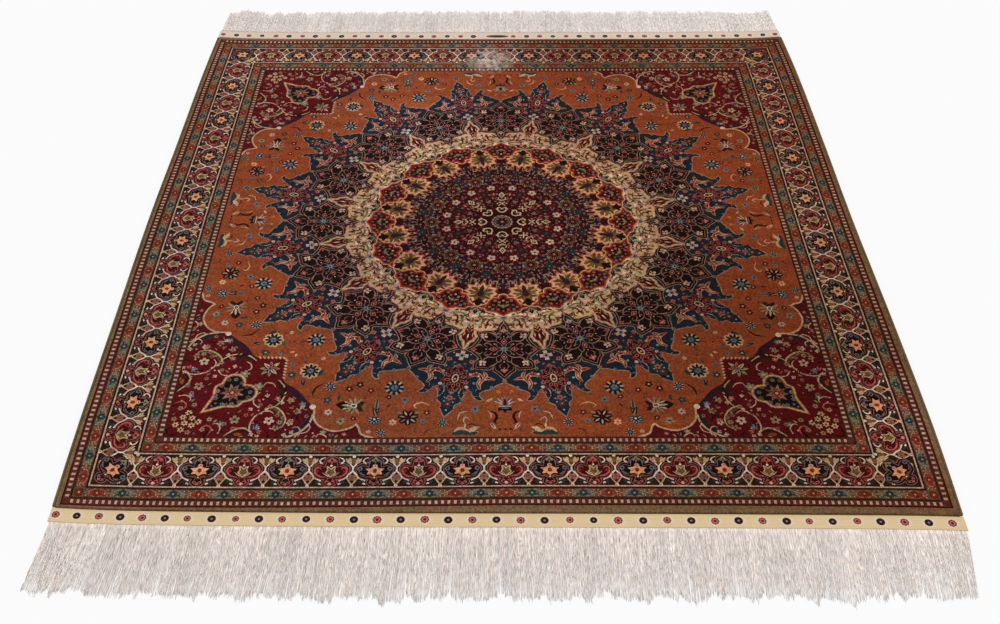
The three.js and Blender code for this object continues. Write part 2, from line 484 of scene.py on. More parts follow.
def snowflake():
    """The large dark star on a ray. Its outline has six lobes and six points."""
    top = [(0, -95), (10, -80), (10, -68), (17, -54)]
    upper = [(17, -54), (30, -67), (50, -70), (70, -68), (72, -52), (65, -40), (71, -27)]
    point = [(71, -27), (81, -13), (88, -7), (100, 0), (88, 7), (81, 14), (70, 26)]
    lower = [(70, 26), (66, 34), (76, 44), (78, 68), (54, 72), (36, 74), (26, 62)]
    foot = [(26, 62), (30, 76), (19, 85), (12, 95), (0, 107)]
    half = np.vstack([curve(run, 2)[:-1] for run in (top, upper, point, lower)] + [curve(foot, 2)])
    motif = banded(mirrored(half), "tan", 2, "ink", 5, "mauve", 2, "ink")
    # Fine scrolls that join the lobes.
    for way in (-1, 1):
        for points, width, yarn in (
            ([(5, 16), (20, 28), (36, 28), (50, 17), (42, 7)], 3.4, "mauve"),
            ([(20, 28), (17, 46), (7, 40), (10, 33)], 3.2, "mauve"),
            ([(36, 28), (48, 32), (55, 46), (50, 58)], 3, "tan"),
            ([(54, 10), (62, 17), (72, 8)], 2.8, "tan"),
            ([(17, 46), (26, 56), (38, 60)], 3, "tan"),
            ([(30, 10), (36, 19), (46, 20)], 2.4, "rose"),
            ([(6, 50), (12, 60), (6, 68)], 2.6, "mauve"),
            ([(14, 6), (20, 14), (15, 20)], 2.4, "mauve"),
        ):
            motif += pair(line([(x, way * y) for x, y in points], width, yarn))
    for x, y, turn in ((48, -51, -40), (52, 52, -140)):
        motif += pair(trefoil(15, "shell", "maroon"), (x, y), turn)
    motif += pair(trefoil(12, "rose", "ink"), (74, 0), -90)
    motif += put(trefoil(14, "rose", "sand"), (0, 70)) + put(trefoil(11, "shell", "ink"), (0, -64), 180)
    diamond = banded(np.array([(0, -12), (8.5, 0), (0, 13), (-8.5, 0)]), "rose", 2.4, "ink")
    for angle in turns(4):
        motif += ray(diamond, 27, angle)
        motif += dot(2.6, "sand", polar([(27, angle)])[0], 4) + dot(2.4, "shell", polar([(45, angle)])[0], 4)
    motif += wreath([blade(15, 3.6, "slate")], 4, turns(8, 22.5))
    motif += pair(dot(2.6, "sand", steps=4), (24, -18)) + pair(dot(2.6, "sand", steps=4), (24, 18))
    return motif + [(star(8, 9, 0.45), "sage"), (circle(3, 5), "ink")]


def big_palmette():
    """The red flower in each outer point of the medallion."""
    motif = []
    for k, angle in enumerate(turns(12, 15)):
        motif += put([(petals(3, 8.5, 0.4), "mauve" if k % 2 else "red"), (circle(3.5, 4), "wine")],
                     polar([(1, angle)])[0] * (28, 37), -angle)
    motif += [(oval(54, 72, 14), "wine")]
    for k, angle in enumerate(turns(10)):
        motif += put([(leaf(17, 10), "mauve" if k % 2 else "rose"), (inset(leaf(17, 10), 2), "crimson")],
                     polar([(1, angle)])[0] * (12, 17), -angle)
    motif += banded(oval(22, 34, 10), "crimson", 1.8, "sand", 3.5, "ink")
    motif += pair(dot(5.5, "shell", steps=6), (33, 24)) + pair(dot(4, "shell", steps=5), (34, -20))
    motif += put(trefoil(11, "mauve", "sand"), (0, 45)) + put(trefoil(9, "rose", "ink"), (0, -42), 180)
    return motif + dot(3, "shell", (0, 2), 5)


def split_leaf():
    """Half of the pronged leaf pair on a ray, leaning away from it."""
    motif = []
    for points, width in (([(4, 34), (10, 16), (3, 0), (-10, -6), (-30, -2)], 14),
                          ([(2, 4), (8, -12), (22, -16), (34, -6)], 13),
                          ([(-2, -4), (-6, -16), (2, -26)], 10)):
        motif += line(points, width, "shell") + line(points, width - 3.5, "rust")
        motif += line(points[:-1], 3.5, "crimson")
    motif += line([(6, 24), (9, 12), (4, 2)], 3.5, "peach")
    motif += dot(2.6, "ink", (-14, -5), 5) + dot(2.6, "ink", (20, -14), 5)
    return motif + dot(2.2, "ivory", (12, -12), 4) + dot(2.2, "ivory", (-5, -2), 4)


def cloud_edge():
    """The outer edge of the cream cloud band, from ray to ray."""
    edge = curve([(0, 408), (10, 422), (17, 442), (32, 446), (50, 446), (62, 450), (76, 442)], 2)
    tip = polar([(460, HALF_RAY)])[0]
    return across(np.vstack([edge, tip]))


def both_ways(motif, radius, offset, size=1.0, centres=(0, RAY_STEP)):
    """Mirrored copies at an offset in degrees on either side of each ray, as far as they show."""
    out = []
    for centre in centres:
        for side in (-1, 1):
            degrees = centre + side * offset
            if -3 < degrees < RAY_STEP + 3:
                out += ray(motif, radius, degrees, size, flip=side < 0)
    return out


def beside(motif, radius, offset):
    """Mirrored copies on either side of the line between two rays."""
    return both_ways(motif, radius, offset, centres=(HALF_RAY,))


def wedge(edge, rim, width, ground):
    """The sector inside an edge from ray to ray, with a rim along that edge."""
    centre = [(0, 0)]
    inner = inset(np.vstack([edge, centre]), width)[:-1]
    return [(np.vstack([centre, edge]), rim), (np.vstack([centre, inner]), ground)]


def on_rays(motif, radius, size=1.0):
    return ray(motif, radius, 0, size) + ray(motif, radius, RAY_STEP, size)


def between(motif, radius, size=1.0):
    return ray(motif, radius, HALF_RAY, size)


def medallion_sector():
    """One sixteenth of the medallion, from a ray with a chain to the plain ray next to it."""
    chart = wedge(medallion_edge(), "tan", 3, "navy")
    outline = chart[0][0]
    chart += blue_ground() + on_rays(snowflake(), 512) + cream_cloud() + dark_middle()
    chart += between(gold_palmette(), 312, 1.12) + on_rays(red_palmette(), 353, 1.08) + inner_rings()
    return chart, outline


# Fine filling of the medallion, each kind with the radius it needs.
CLOUD_FILL = [
    (6, blade(17, 9, "gold", 12, 3, "umber")), (5, line([(-10, 2), (0, -4), (10, 2)], 4, "ink")),
    (5, line([(-8, 0), (0, 3), (8, -2)], 3.6, "umber")), (4, blade(15, 7, "ivory")),
    (4, blade(12, 5, "maroon")), (5, line([(-7, 2), (0, -2), (7, 3)], 2.8, "maroon")),
    (4, blade(13, 6, "bronze")), (4.5, blossom(5, "umber", "gold")), (4, blade(12, 5.5, "olive")),
    (3, dot(2.5, "crimson", steps=4)),
]
DARK_FILL = [
    (5, blossom(4.5, "mauve", "ink")), (5, blade(16, 4.5, "ink")), (3, dot(2.2, "tan", steps=4)),
    (5, blade(16, 5, "ink")), (4, blade(13, 4, "crimson")), (4, blade(10, 3.5, "plum")),
    (3, dot(2.2, "mauve", steps=4)), (4, blade(10, 3.5, "sage")),
    (4, line([(-7, 0), (0, 2.5), (7, 0)], 2.4, "ink")),
]
BLUE_FILL = [
    (5, blossom(5.5, "rose", "ink")), (5, blade(14, 5, "teal")), (3, dot(2.2, "shell", steps=4)),
    (5, line([(-8, 0), (0, 3), (8, -1)], 2.6, "slate")), (5, blade(14, 5, "plum")),
    (4.5, blossom(4.5, "plum", "shell")),
]


def blue_ground():
    """The blue ground outside the stars, with its flowers and leaves."""
    chart = between(banded(leaf(56, 36), "teal", 3, "navy", 3, "teal"), 670)
    chart += between(blossom(9, "rose", "ink"), 690) + between(blossom(7, "red", "sand"), 710)
    chart += between(dot(3, "sky"), 730) + beside(dot(3, "plum"), 698, 1)
    for motif, radius, offset in (
        (line([(-25, -10), (-5, 10), (22, 10), (30, -8)], 2.8, "slate"), 666, 6.2),
        (line([(0, -25), (8, 0), (0, 20)], 2.6, "sky"), 670, 9), (blade(20, 7, "teal"), 650, 6.9),
        (blade(16, 6, "plum"), 662, 5.6), (split_leaf(), 620, 4.9),
    ):
        chart += both_ways(motif, radius, offset)
    chart += on_rays(blossom(7, "mauve", "olive", 3), 624) + between(big_palmette(), 624)
    for radius, offset, size, petal, heart in (
        (562, 2.9, 7.5, "rose", "ink"), (538, 2.3, 6, "plum", "shell"), (586, 3.4, 6, "sage", "rust"),
        (572, 1.3, 5, "red", "shell"), (598, 4.6, 5.5, "red", "shell"), (644, 8.4, 5, "slate", "rust"),
        (600, 1.2, 5, "plum", "rose"), (660, 3.4, 5.5, "rose", "ink"), (688, 2.6, 4.5, "slate", "rose"),
        (550, 4.2, 4.5, "teal", "slate"), (634, 4.4, 4, "sky", "navy"), (590, 6.2, 4.5, "teal", "rose"),
    ):
        chart += beside(blossom(size, petal, heart), radius, offset)
    cross = [(petals(4, 17, 0.62), "shell"), (petals(4, 8, 0.4), "slate"), (circle(3.5, 5), "ink")]
    area = polar([(520, 10.9), (500, 9), (590, 6), (620, 1.6), (642, 3.2), (670, 7.4), (730, 10.9)])
    flower, prongs, star_cross = polar([(624, HALF_RAY), (620, 4.9), (544, HALF_RAY)])
    taken = [(0, 512, 97), (*flower, 44), (*prongs, 30), (*star_cross, 20)]
    return chart + between(cross, 544) + folded(strewn(area, [], taken, BLUE_FILL, 2, 400, 3))


def cream_cloud():
    """The cream cloud band, its pendants, and the olive and red scrolls on it."""
    chart = between(almond(), 480) + wedge(cloud_edge(), "rust", 2, "sand")
    for motif, radius, offset in (
        (line([(-36, 2), (-14, 13), (6, 5), (0, -9), (-12, -4)], 5.5, "umber"), 416, 5),
        (line([(-30, -12), (0, -2), (26, -14)], 3.6, "rust"), 428, 5.4),
        (line([(-28, 6), (2, -4), (30, 8)], 4.5, "bronze"), 396, 5.6),
        (line([(-10, -18), (0, 0), (-2, 18)], 3.6, "olive"), 420, 7.8),
        (line([(-2, -22), (12, -6), (2, 10), (-14, 12)], 3.2, "maroon"), 392, 7.6),
        (line([(-12, 10), (2, 2), (4, -12)], 3.2, "crimson"), 430, 3),
        (blade(20, 10, "gold", 14, 4.5, "olive"), 416, 3.6),
        (blade(20, 10, "olive", 13, 4, "sand"), 398, 7.2), (blade(17, 8, "bronze"), 424, 6.2),
        (blade(15, 6, "sage"), 386, 3.8), (trefoil(11, "crimson"), 377, 5.9),
        (trefoil(9, "maroon"), 360, 8.2),
    ):
        chart += both_ways(motif, radius, offset)
    chart += beside(blossom(8, "wine", "shell"), 420, 1.3) + beside(blossom(6, "maroon", "gold"), 400, 2.4)
    chart += both_ways([(oval(16, 11, 7), "ivory")], 385, 2.7)
    chart += on_rays([(star(6, 13, 0.45), "slate"), (circle(4, 5), "navy")], 397)
    area = polar([(384, 1.2), (360, 6), (350, 9), (372, 10.9), (442, 10.9), (438, 3.6), (420, 2.4),
                  (406, 1)])
    fan_place, star_place = polar([(372, HALF_RAY), (397, 0)])
    chart += folded(strewn(area, [], [(*fan_place, 16), (*star_place, 12)], CLOUD_FILL, 1.2, 1200, 4))
    return chart + between(trefoil(14, "umber", "rust"), 442) + between(blade(20, 6, "rust"), 402)


def dark_middle():
    """The dark red ground inside the palmettes, with its long rays of colour."""
    chart = [(polar([(0, 0)] + [(342, a) for a in np.linspace(0, RAY_STEP, 7)]), "wine")]
    for degrees in (3, 6.5, 16, 19.5):
        chart += ray([(leaf(150, 8, 5), "maroon")], 100, degrees) + ray(blade(110, 7, "plum"), 210, degrees)
    for degrees in (9, 13.5):
        chart += ray(blade(110, 6, "maroon"), 160, degrees)
    chart += between(blade(160, 9, "crimson"), 75) + between(blade(80, 10, "plum"), 175)
    chart += both_ways(trefoil(9, "maroon"), 374, 7.5) + both_ways(dot(4.5, "maroon"), 362, 6.6)
    chart += between(fan(), 360) + between(blade(20, 10, "crimson"), 338)
    chart += on_rays(blade(60, 11, "plum", 25, 5, "mauve"), 242)
    chart += both_ways(line([(-4, -30), (4, 0), (-2, 28)], 3, "mauve"), 272, 3)
    chart += both_ways(line([(0, -24), (5, 0), (0, 24)], 2.4, "rose"), 250, 9.6)
    area = polar([(70, 2), (70, 10.9), (255, 10.9), (260, 6.5), (300, 4), (300, 1), (150, 1)])
    return chart + folded(strewn(area, [], [], DARK_FILL, 2.5, 900, 5))


def inner_rings():
    """The rings of cups, rosettes, horseshoes and chains round the centre."""
    chart = both_ways(crescent(), 260, 4.5, 0.8)
    chart += both_ways(banded(oval(11, 16, 8), "tan", 2.4, "maroon"), 262, 7.4)
    chart += between(teal_rosette(), 232) + between(dot(3, "shell"), 254) + on_rays(ray_rosette(), 203)
    for radius, offset, size, petal, heart in (
        (220, 5, 5, "red", "ink"), (186, 7.6, 5, "mauve", "red"), (242, 9, 4, "mauve", "ink"),
        (202, 9.4, 4.5, "slate", "ink"), (172, 4.6, 4.5, "red", "ink"), (146, 5.4, 4, "plum", "tan"),
        (234, 2.6, 3.5, "tan", "ink"), (130, 8.6, 3.5, "red", "ink"), (278, 8.2, 4.5, "rose", "shell"),
    ):
        chart += both_ways(blossom(size, petal, heart), radius, offset)
    chart += both_ways(blade(16, 5, "sage"), 194, 6) + both_ways(blade(14, 4.5, "slate"), 150, 8)
    chart += both_ways(blade(14, 5, "olive"), 212, 7.8) + both_ways(blade(12, 4, "red"), 172, 9.2)
    chart += between(blossom(12.5, "shell", "umber"), 162)
    chart += on_rays([(oval(16, 14, 7), "plum"), (oval(7, 7, 5), "rose")], 164)
    chart += ray(blade(50, 12, "maroon", 40, 5, "crimson"), 110, RAY_STEP)
    chart += ray(blossom(6, "mauve", "ink"), 98, RAY_STEP) + ray(teal_rosette(), 136, RAY_STEP, 0.6)
    chart += ray([(leaf(14, 5, 3), "mauve")], 108, 12.5) + ray(blade(14, 6, "tan"), 124, 10.5)
    chart += ray(blade(30, 6, "crimson"), 55, RAY_STEP) + ray(dot(3, "shell"), 62, 15)
    return chart + ray(diamond_chain(), 98, 0) + ray(horseshoe(), 57, 0) + roundel()


# ---- field and corners

# One quarter of the field, from the medallion's edge to x = FIELD and y = FIELD. It is nearly the
# same on both sides of its diagonal, and its +y points out of the rug.


def swapped(motif):
    """The motif and its mirror image in the quarter's diagonal."""
    return motif + [(o[:, ::-1], yarn) for o, yarn in motif]


def white_daisy():
    motif = [(petals(10, 27, 0.18), "sand")] + wreath([blade(15, 7.5, "ink")], 9, turns(10))
    return motif + [(circle(14, 10), "navy"), (petals(6, 9, 0.3), "slate"), (circle(3, 4), "ink")]


def blue_daisy(radius=20):
    rays = [blade(0.6 * radius, 0.24 * radius, yarn) for yarn in ("sky", "sand")]
    motif = [(star(9, 1.1 * radius, 0.3, 20), "ink")] + wreath(rays, 0.5 * radius, turns(9))
    return motif + [(circle(0.62 * radius, 10), "navy"), (petals(6, 0.42 * radius, 0.3), "slate"),
                    (circle(0.12 * radius, 4), "navy")]


def white_palmette():
    motif = pair(blade(30, 16, "umber"), (0, 0), -150) + blade(44, 30, "ink")
    for angle in (-125, -90, -58, -28, 0, 28, 58, 90, 125):
        motif += put(blade(25, 6.6, "tan" if angle % 4 else "sand"), polar([(5, angle)])[0], -angle)
    motif += pair(blade(20, 3.5, "umber"), (3, 5), -14) + pair(blade(18, 3, "umber"), (5, 0), -74)
    return motif + [(oval(15, 17, 8), "ivory"), (oval(9, 11, 7), "ink"), (circle(2.2, 4), "sky")]


def spike_flower():
    motif = put(blade(66, 10, "tan", 62, 5, "teal"), (0, -68))
    motif += pair(blade(32, 10, "ink", 26, 4, "tan"), (4, -8), 158)
    motif += wreath([blade(20, 8, "navy", 17, 3.5, "sky")], 0, (-110, -70, -35, 0, 35, 70, 110))
    return motif + [(petals(5, 9, 0.35), "navy"), (circle(3.5, 5), "ivory")]


def striped_rosette():
    stripes = [blade(16, 4.5, yarn) for yarn in ("shell", "rose", "sage")]
    motif = [(petals(7, 25, 0.3), "ink")] + wreath(stripes, 7, np.arange(7) * 51.4)
    return motif + pair(blade(14, 5, "sage"), (16, -12), -120) + [(circle(5, 6), "maroon")]


def lily():
    """The upright flower on a side's middle, with its two buds."""
    motif = pair(blade(20, 13, "ink"), (2, 14), -50) + put(blade(22, 12, "ink"), (0, 12))
    for angle in (-62, -38, -17, 17, 38, 62):
        motif += put(blade(34, 7.5, "umber", 32, 5, "sage" if angle % 2 else "shell"), (0, 10), 180 - angle)
    motif += put(blade(36, 16, "mauve", 28, 9, "plum"), (0, 16), 180)
    motif += [(box(30, 3.5, (0, 13)), "sand"), (box(20, 3, (0, 19)), "slate")]
    motif += pair(banded(oval(15, 20, 8), "rust", 3, "amber"), (16, -34), 35)
    return motif + pair(blade(18, 7, "sand"), (30, -12), -60)


def side_ornament():
    """What stands on the middle of a side of the field, at x = 0."""
    motif = put(lily(), (0, 692))
    motif += pair(line([(36, 720), (24, 726), (20, 740), (26, 754), (18, 760)], 7, "ink"))
    motif += pair(blade(26, 9, "shell", 18, 4, "rust"), (36, 756), 35)
    motif += pair(line([(42, 718), (34, 730), (34, 744)], 3, "sand"))
    for x in (0, 13):
        motif += pair([(np.array([(0, -3), (5, 0), (0, 3), (-5, 0)]), "ink")], (x, 777))
    motif += pair(line([(42, 770), (36, 776), (38, 784)], 3.5, "teal"))
    return motif + pair(hare(), (90, 780))


def hare():
    """A small running animal in white and green, with a cream tendril over its back."""
    body = [(-30, 10), (-20, 2), (-6, 6), (6, -2), (20, -2), (32, 6), (26, -8),
            (10, -10), (-2, -2), (-14, -12), (-30, -10), (-22, -3)]
    leaves = [(-30, 4), (-10, 14), (14, 12), (34, 14), (30, 0), (0, 2)]
    motif = [(curve(leaves, 2, closed=True), "teal"), (curve(body, 2, closed=True), "sand")]
    motif += put(blade(20, 5, "sand"), (6, -24))
    motif += line([(-22, -16), (-10, -20), (2, -14)], 4, "crimson")
    motif += line([(-6, -32), (4, -42), (10, -32), (6, -22)], 3.5, "shell")
    return motif + dot(3.5, "crimson", (-16, 10), 5) + dot(3, "ink", (-22, 0), 4)


# Flowers on the orange ground of a quarter, on one side of its diagonal: motif, x, y, turn and size.
STREWN = [
    (white_daisy(), 482, 588, 0, 0.98), (white_palmette(), 365, 702, -95, 1),
    (spike_flower(), 312, 744, -3, 1), (striped_rosette(), 232, 739, 0, 1),
    (blue_daisy(), 270, 643, -22, 1.15), (blue_daisy(13), 428, 640, 0, 1),
    (blue_daisy(11), 150, 755, 0, 1), (blossom(11, "teal", "sand", 6), 527, 602, 0, 1),
    (blossom(10, "shell", "navy", 6), 424, 722, 0, 1), (blossom(11, "teal", "rose"), 430, 684, 20, 1),
    (blossom(10, "maroon", "peach"), 380, 647, 0, 1), (blossom(10, "wine", "sand"), 355, 633, 0, 1),
    (blossom(9, "crimson", "sand"), 327, 652, 0, 1), (blossom(11, "sage", "ink"), 392, 750, 0, 1),
    (blue_daisy(12), 295, 786, 0, 0.9), (blossom(10, "peach", "bronze", 6), 268, 754, 0, 1),
    (blossom(9, "crimson", "shell"), 188, 724, 0, 1), (blossom(10, "slate", "ink", 6), 243, 683, 0, 1),
    (blossom(11, "slate", "maroon"), 72, 713, 0, 1),
    (blade(26, 10, "navy", 16, 4, "slate"), 498, 614, 10, 1), (blade(24, 10, "teal"), 450, 584, -30, 1),
    (blade(22, 8, "teal"), 402, 666, -5, 1),
    (line([(-20, -14), (2, 5), (6, 30)], 5, "ink"), 462, 642, 0, 1),
    (line([(-20, 0), (0, -9), (18, 0), (10, 10)], 3.5, "peach"), 202, 700, 0, 1),
    (line([(-16, -16), (2, -10), (8, 10)], 3.5, "shell"), 106, 736, 0, 1),
]

# Fine filling of the orange ground and of the crimson corners, each kind with the radius it needs.
ORANGE_FILL = [
    (9, blossom(8, "maroon", "shell")), (11, line([(-16, 2), (0, -5), (14, 5)], 2.6, "umber")),
    (8, blade(16, 6, "teal", 10, 2.5, "slate")), (8, blossom(7, "slate", "ink")),
    (9, line([(-10, -3), (2, 4), (12, -2)], 2.6, "olive")), (8, blade(14, 6, "peach")),
    (8, trefoil(9, "umber")), (8, blade(15, 5.5, "crimson")),
    (10, line([(-15, 3), (0, -3), (6, 8)], 2.6, "moss")), (8, blossom(6, "shell", "rust")),
    (5, dot(3, "ink", steps=4)),
]
CORNER_FILL = [
    (9, line([(-16, 8), (-6, -3), (10, -4), (15, 6)], 3.4, "shell")), (7, blossom(7, "tan", "ink")),
    (9, line([(-14, 0), (0, 6), (13, 0)], 5, "ink")), (5, blade(13, 5, "rose")),
    (6, blade(16, 7, "ink", 12, 3, "tan")), (4, dot(3, "slate", steps=4)),
    (7, line([(-10, 0), (0, 4), (10, 0)], 2.8, "plum")), (6, blossom(6, "mauve", "wine")),
    (5, blade(13, 4.5, "sage")), (6, trefoil(9, "shell")),
    (5, line([(-8, 3), (0, -2), (8, 3)], 3, "ink")), (3.5, dot(2.8, "shell", steps=4)),
    (4.5, blade(11, 4.5, "navy")),
]


def corner_shape():
    """The crimson corner's edge on one side of the diagonal, from the side of the field inwards."""
    hook = curve([(290, 820), (310, 800), (338, 788), (345, 770), (354, 756)])
    sweep = curve([(354, 756), (372, 770), (405, 778), (438, 764), (454, 740), (456, 714), (464, 703)])
    belly = curve([(464, 703), (482, 684), (508, 652), (540, 630), (552, 612)])
    return np.vstack([hook[:-1], sweep[:-1], belly])


def heart_palmette():
    """The large heart on the diagonal, with its tip along +y, in the corner."""
    side = [(0, -60), (12, -70), (34, -72), (52, -58), (58, -36), (48, -16), (51, 2),
            (36, 20), (26, 30), (12, 62), (0, 86)]
    motif = banded(mirrored(np.vstack([side[:1], curve(side[1:], 2)])), "rust", 2.2, "sand", 4.5, "mauve", 3,
                   "umber", 3, "ink")
    for k, (x, y) in enumerate([(30, -50), (41, -36), (38, -10), (30, 8), (14, 26), (10, -54), (22, 20)]):
        motif += pair(blossom(6.5, ("slate", "olive", "mauve", "sage")[k % 4], "navy"), (x, y))
    for k in range(9):
        yarn = ("tan", "olive", "mauve")[k % 3]
        motif += put(blade(34, 12, "navy", 31, 9, yarn, 20, 3, "maroon"), (0, -16), 40 * k)
    for k in range(9):
        motif += put(blade(20, 7, "rust" if k % 2 else "rose"), (0, -16), 40 * k + 20)
    motif += dot(4, "slate", (0, 36), 5) + dot(3, "rose", (0, 48), 5)
    return motif + [(petals(8, 9, 0.3) + (0, -16), "ink"), (circle(5, 6, (0, -16)), "peach")]


def square_palmette():
    """The jagged square flower at the corner's inner point. Its ivory edge is on its two outer sides."""
    edge = [(0, 0)]
    for k in range(7):
        edge += [(10 * k + 5, 3), (10 * k + 10, -3)]
    low = np.array(edge + [(74, 0)]) - (37, 37)
    outline = np.vstack([low, [(37, 37)], low[::-1, ::-1][:-1]])
    motif = [(outline, "sand"), (outline * 0.99 + 3.5, "crimson")]
    for angle, petal, length in ((-135, "sand", 30), (-90, "rose", 26), (180, "rose", 26), (45, "sage", 30),
                                 (0, "tan", 28), (90, "tan", 28), (-45, "shell", 26), (135, "shell", 26)):
        motif += put(blade(length + 3, 15, "ink", length, 10, petal, 18, 3, "maroon"), (2, 2), angle - 90)
    return motif + put(blossom(8, "slate", "ink"), (2, 2))


def floret():
    """One flower of the cluster in the corner."""
    return [(star(5, 10.5, 0.35, 36), "ink"), (petals(6, 8.5, 0.45), "sand"), (circle(3, 5), "maroon")]


def corner_motifs():
    """The cream arcs, spirals and florets of a crimson corner, on one side of the diagonal."""
    motif = []
    arc = [(460, 730), (466, 760), (488, 786), (520, 802)]
    motif += line([(x + 8, y - 3) for x, y in arc], 12, "navy", tips=(1, 1))
    motif += line(arc, 5, "sand", tips=(1, 1))
    lobe = [(562, 614), (542, 636), (534, 660), (540, 688), (556, 708)]
    motif += line([(x + 8, y) for x, y in lobe], 10, "umber")
    motif += line(lobe, 4.5, "sand", tips=(0.6, 0.6))
    spiral = [(572, 714), (556, 706), (536, 720), (523, 746), (528, 768)]
    motif += line([(x + 6, y + 3) for x, y in spiral], 8, "moss")
    motif += line(spiral, 4.2, "sand", tips=(1, 0.4)) + dot(4.5, "sand", (573, 714))
    ring = [(580, 724), (598, 738), (606, 766), (602, 786)]
    motif += line(ring, 3.6, "shell", tips=(1, 1)) + dot(5, "sand", (602, 786))
    arch = [(662, 798), (642, 780), (620, 773), (598, 786)]
    motif += line([(x - 2, y + 7) for x, y in arch], 12, "umber") + line(arch, 4.5, "sand", tips=(0.4, 1))
    motif += [(oval(20, 10, 7, (630, 792)), "rust")]
    motif += line([(700, 796), (694, 776), (708, 766), (720, 776)], 4, "rose")
    motif += line([(595, 660), (608, 680), (604, 700), (590, 710)], 3.5, "shell", tips=(0.4, 1))
    for x, y, petal, heart, size in (
        (602, 642, "sage", "shell", 13), (562, 750, "shell", "navy", 13), (644, 748, "tan", "navy", 13),
        (498, 720, "tan", "red", 10), (488, 698, "slate", "shell", 9), (518, 686, "tan", "rust", 10),
        (550, 680, "rose", "sand", 8), (590, 770, "slate", "sky", 9), (544, 772, "tan", "crimson", 9),
        (512, 756, "shell", "maroon", 9), (430, 784, "sage", "shell", 8), (410, 792, "slate", "rust", 6),
        (380, 790, "rose", "shell", 6), (675, 762, "slate", "shell", 9), (534, 650, "plum", "rose", 8),
    ):
        flower = [(star(5, size * 1.15, 0.35, 36), "ink")] + blossom(size, petal, heart)
        motif += put(flower, (x, y), 0.4 * x)
    for at in ((743, 767), (766, 781), (729, 756)):
        motif += put(floret(), at)
    taken = [(658, 658, 56), (698, 698, 40), (730, 730, 12), (743, 767, 10), (580, 580, 40), (766, 781, 10),
             (562, 750, 16), (644, 748, 16), (602, 642, 16)]
    area = np.array([(320, 800), (360, 780), (400, 786), (450, 770), (470, 720), (510, 675), (560, 630),
                     (600, 600), (798, 798)])
    return motif + strewn(area, [], taken, CORNER_FILL, 1.2, 2600, 6)


def field_outline():
    edges = []
    for k in range(4):
        a = math.radians(RAY_STEP * k)
        edge = medallion_edge() @ np.array([[math.cos(a), -math.sin(a)], [math.sin(a), math.cos(a)]])
        edges.append(edge if k == 3 else edge[:-1])
    return np.vstack(edges + [[(FIELD, 0), (FIELD, FIELD), (0, FIELD)]])


def field_quarter():
    outline = field_outline()
    chart = [(outline, "orange")] + wreath([dot(3, "sand")], 762, [HALF_RAY * k for k in (1, 3, 5, 7)])
    chart += ray(blue_daisy(), 678, 45, 1.1)
    taken = [(x, y, 16 * size) for _, x, y, _, size in STREWN]
    taken += [(0, 692, 42), (30, 745, 30), (90, 780, 34), (0, 777, 30), (482, 588, 30), (310, 710, 20)]
    half = corner_shape()
    corner = np.vstack([half, half[::-1, ::-1], [(FIELD + 20, FIELD + 20)]])
    octant = np.array([(10, FIELD - 6), (10, 600), (500, 500), (FIELD, FIELD)])
    medallion = polar([(700, 0)] + [(762 if k % 2 else 675, HALF_RAY * k) for k in range(9)] + [(0, 0)])
    chart += swapped(strewn(octant, [inset(corner, -10), medallion], taken, ORANGE_FILL, 4, 1500, 2))
    for flower, x, y, turn, size in STREWN:
        chart += swapped(put(flower, (x, y), turn, size))
    chart += swapped(side_ornament()) + [(corner, "sand"), (inset(corner, 5), "crimson")]
    belly = curve([(470, 708), (486, 690), (512, 658), (542, 637), (556, 616)])
    chart += swapped([(stroke(belly, 17, tips=(1, 1)), "plum")]) + swapped(dot(8, "ivory", (463, 706), 8))
    chart += swapped(corner_motifs()) + put(square_palmette(), (580, 580))
    chart += put(heart_palmette(), (674, 674), -45, 0.95)
    return chart + put(floret(), (745, 745)) + put(floret(), (761, 761)), outline


# ---- from charts to knots

# A piece of knotting is (points, triangles, yarns): flat points in cartouches, the three corners of
# each triangle, and each triangle's number in the list of yarns.
YARN_NAMES = list(YARNS)
SNAP = 1e-5  # lines of a chart that pass this close meet, in cartouches
MERGE = 4e-5  # points of two pieces this close are one


def inside(points, outline):
    """Which points lie in a closed outline."""
    x, y = points.T
    hit = np.zeros(len(points), bool)
    for (x0, y0), (x1, y1) in zip(outline, np.roll(outline, -1, axis=0)):
        if y0 != y1:
            hit ^= ((y0 > y) != (y1 > y)) & (x < (x1 - x0) * (y - y0) / (y1 - y0) + x0)
    return hit


def triangulated(corners, edges):
    """A flat triangulation inside the given lines, and the zone of each triangle.

    A zone is an area that no line crosses. Zones that no line closes off are left out."""
    found = delaunay_2d_cdt([Vector(c) for c in corners], edges, [], 0, SNAP, True)
    points = np.array([v[:] for v in found[0]])
    triangles = np.array([f for f in found[2] if len(f) == 3])
    lines, which, uses = sides_of(triangles)
    fences = {tuple(sorted(e)) for e, sources in zip(found[1], found[4]) if sources}
    free = np.array([tuple(e) not in fences for e in lines.tolist()])
    order = np.argsort(which, kind="stable")
    order = order[(free & (uses == 2))[which[order]]].reshape(-1, 2) % len(triangles)
    zone, before = np.arange(len(triangles)), None
    while before is None or (zone != before).any():
        before = zone.copy()
        np.minimum.at(zone, order[:, 0], before[order[:, 1]])
        np.minimum.at(zone, order[:, 1], before[order[:, 0]])
        zone = zone[zone]
    outer = zone[np.flatnonzero((free & (uses == 1))[which]) % len(triangles)]
    closed = ~np.isin(zone, outer)
    return points, triangles[closed], np.unique(zone[closed], return_inverse=True)[1]


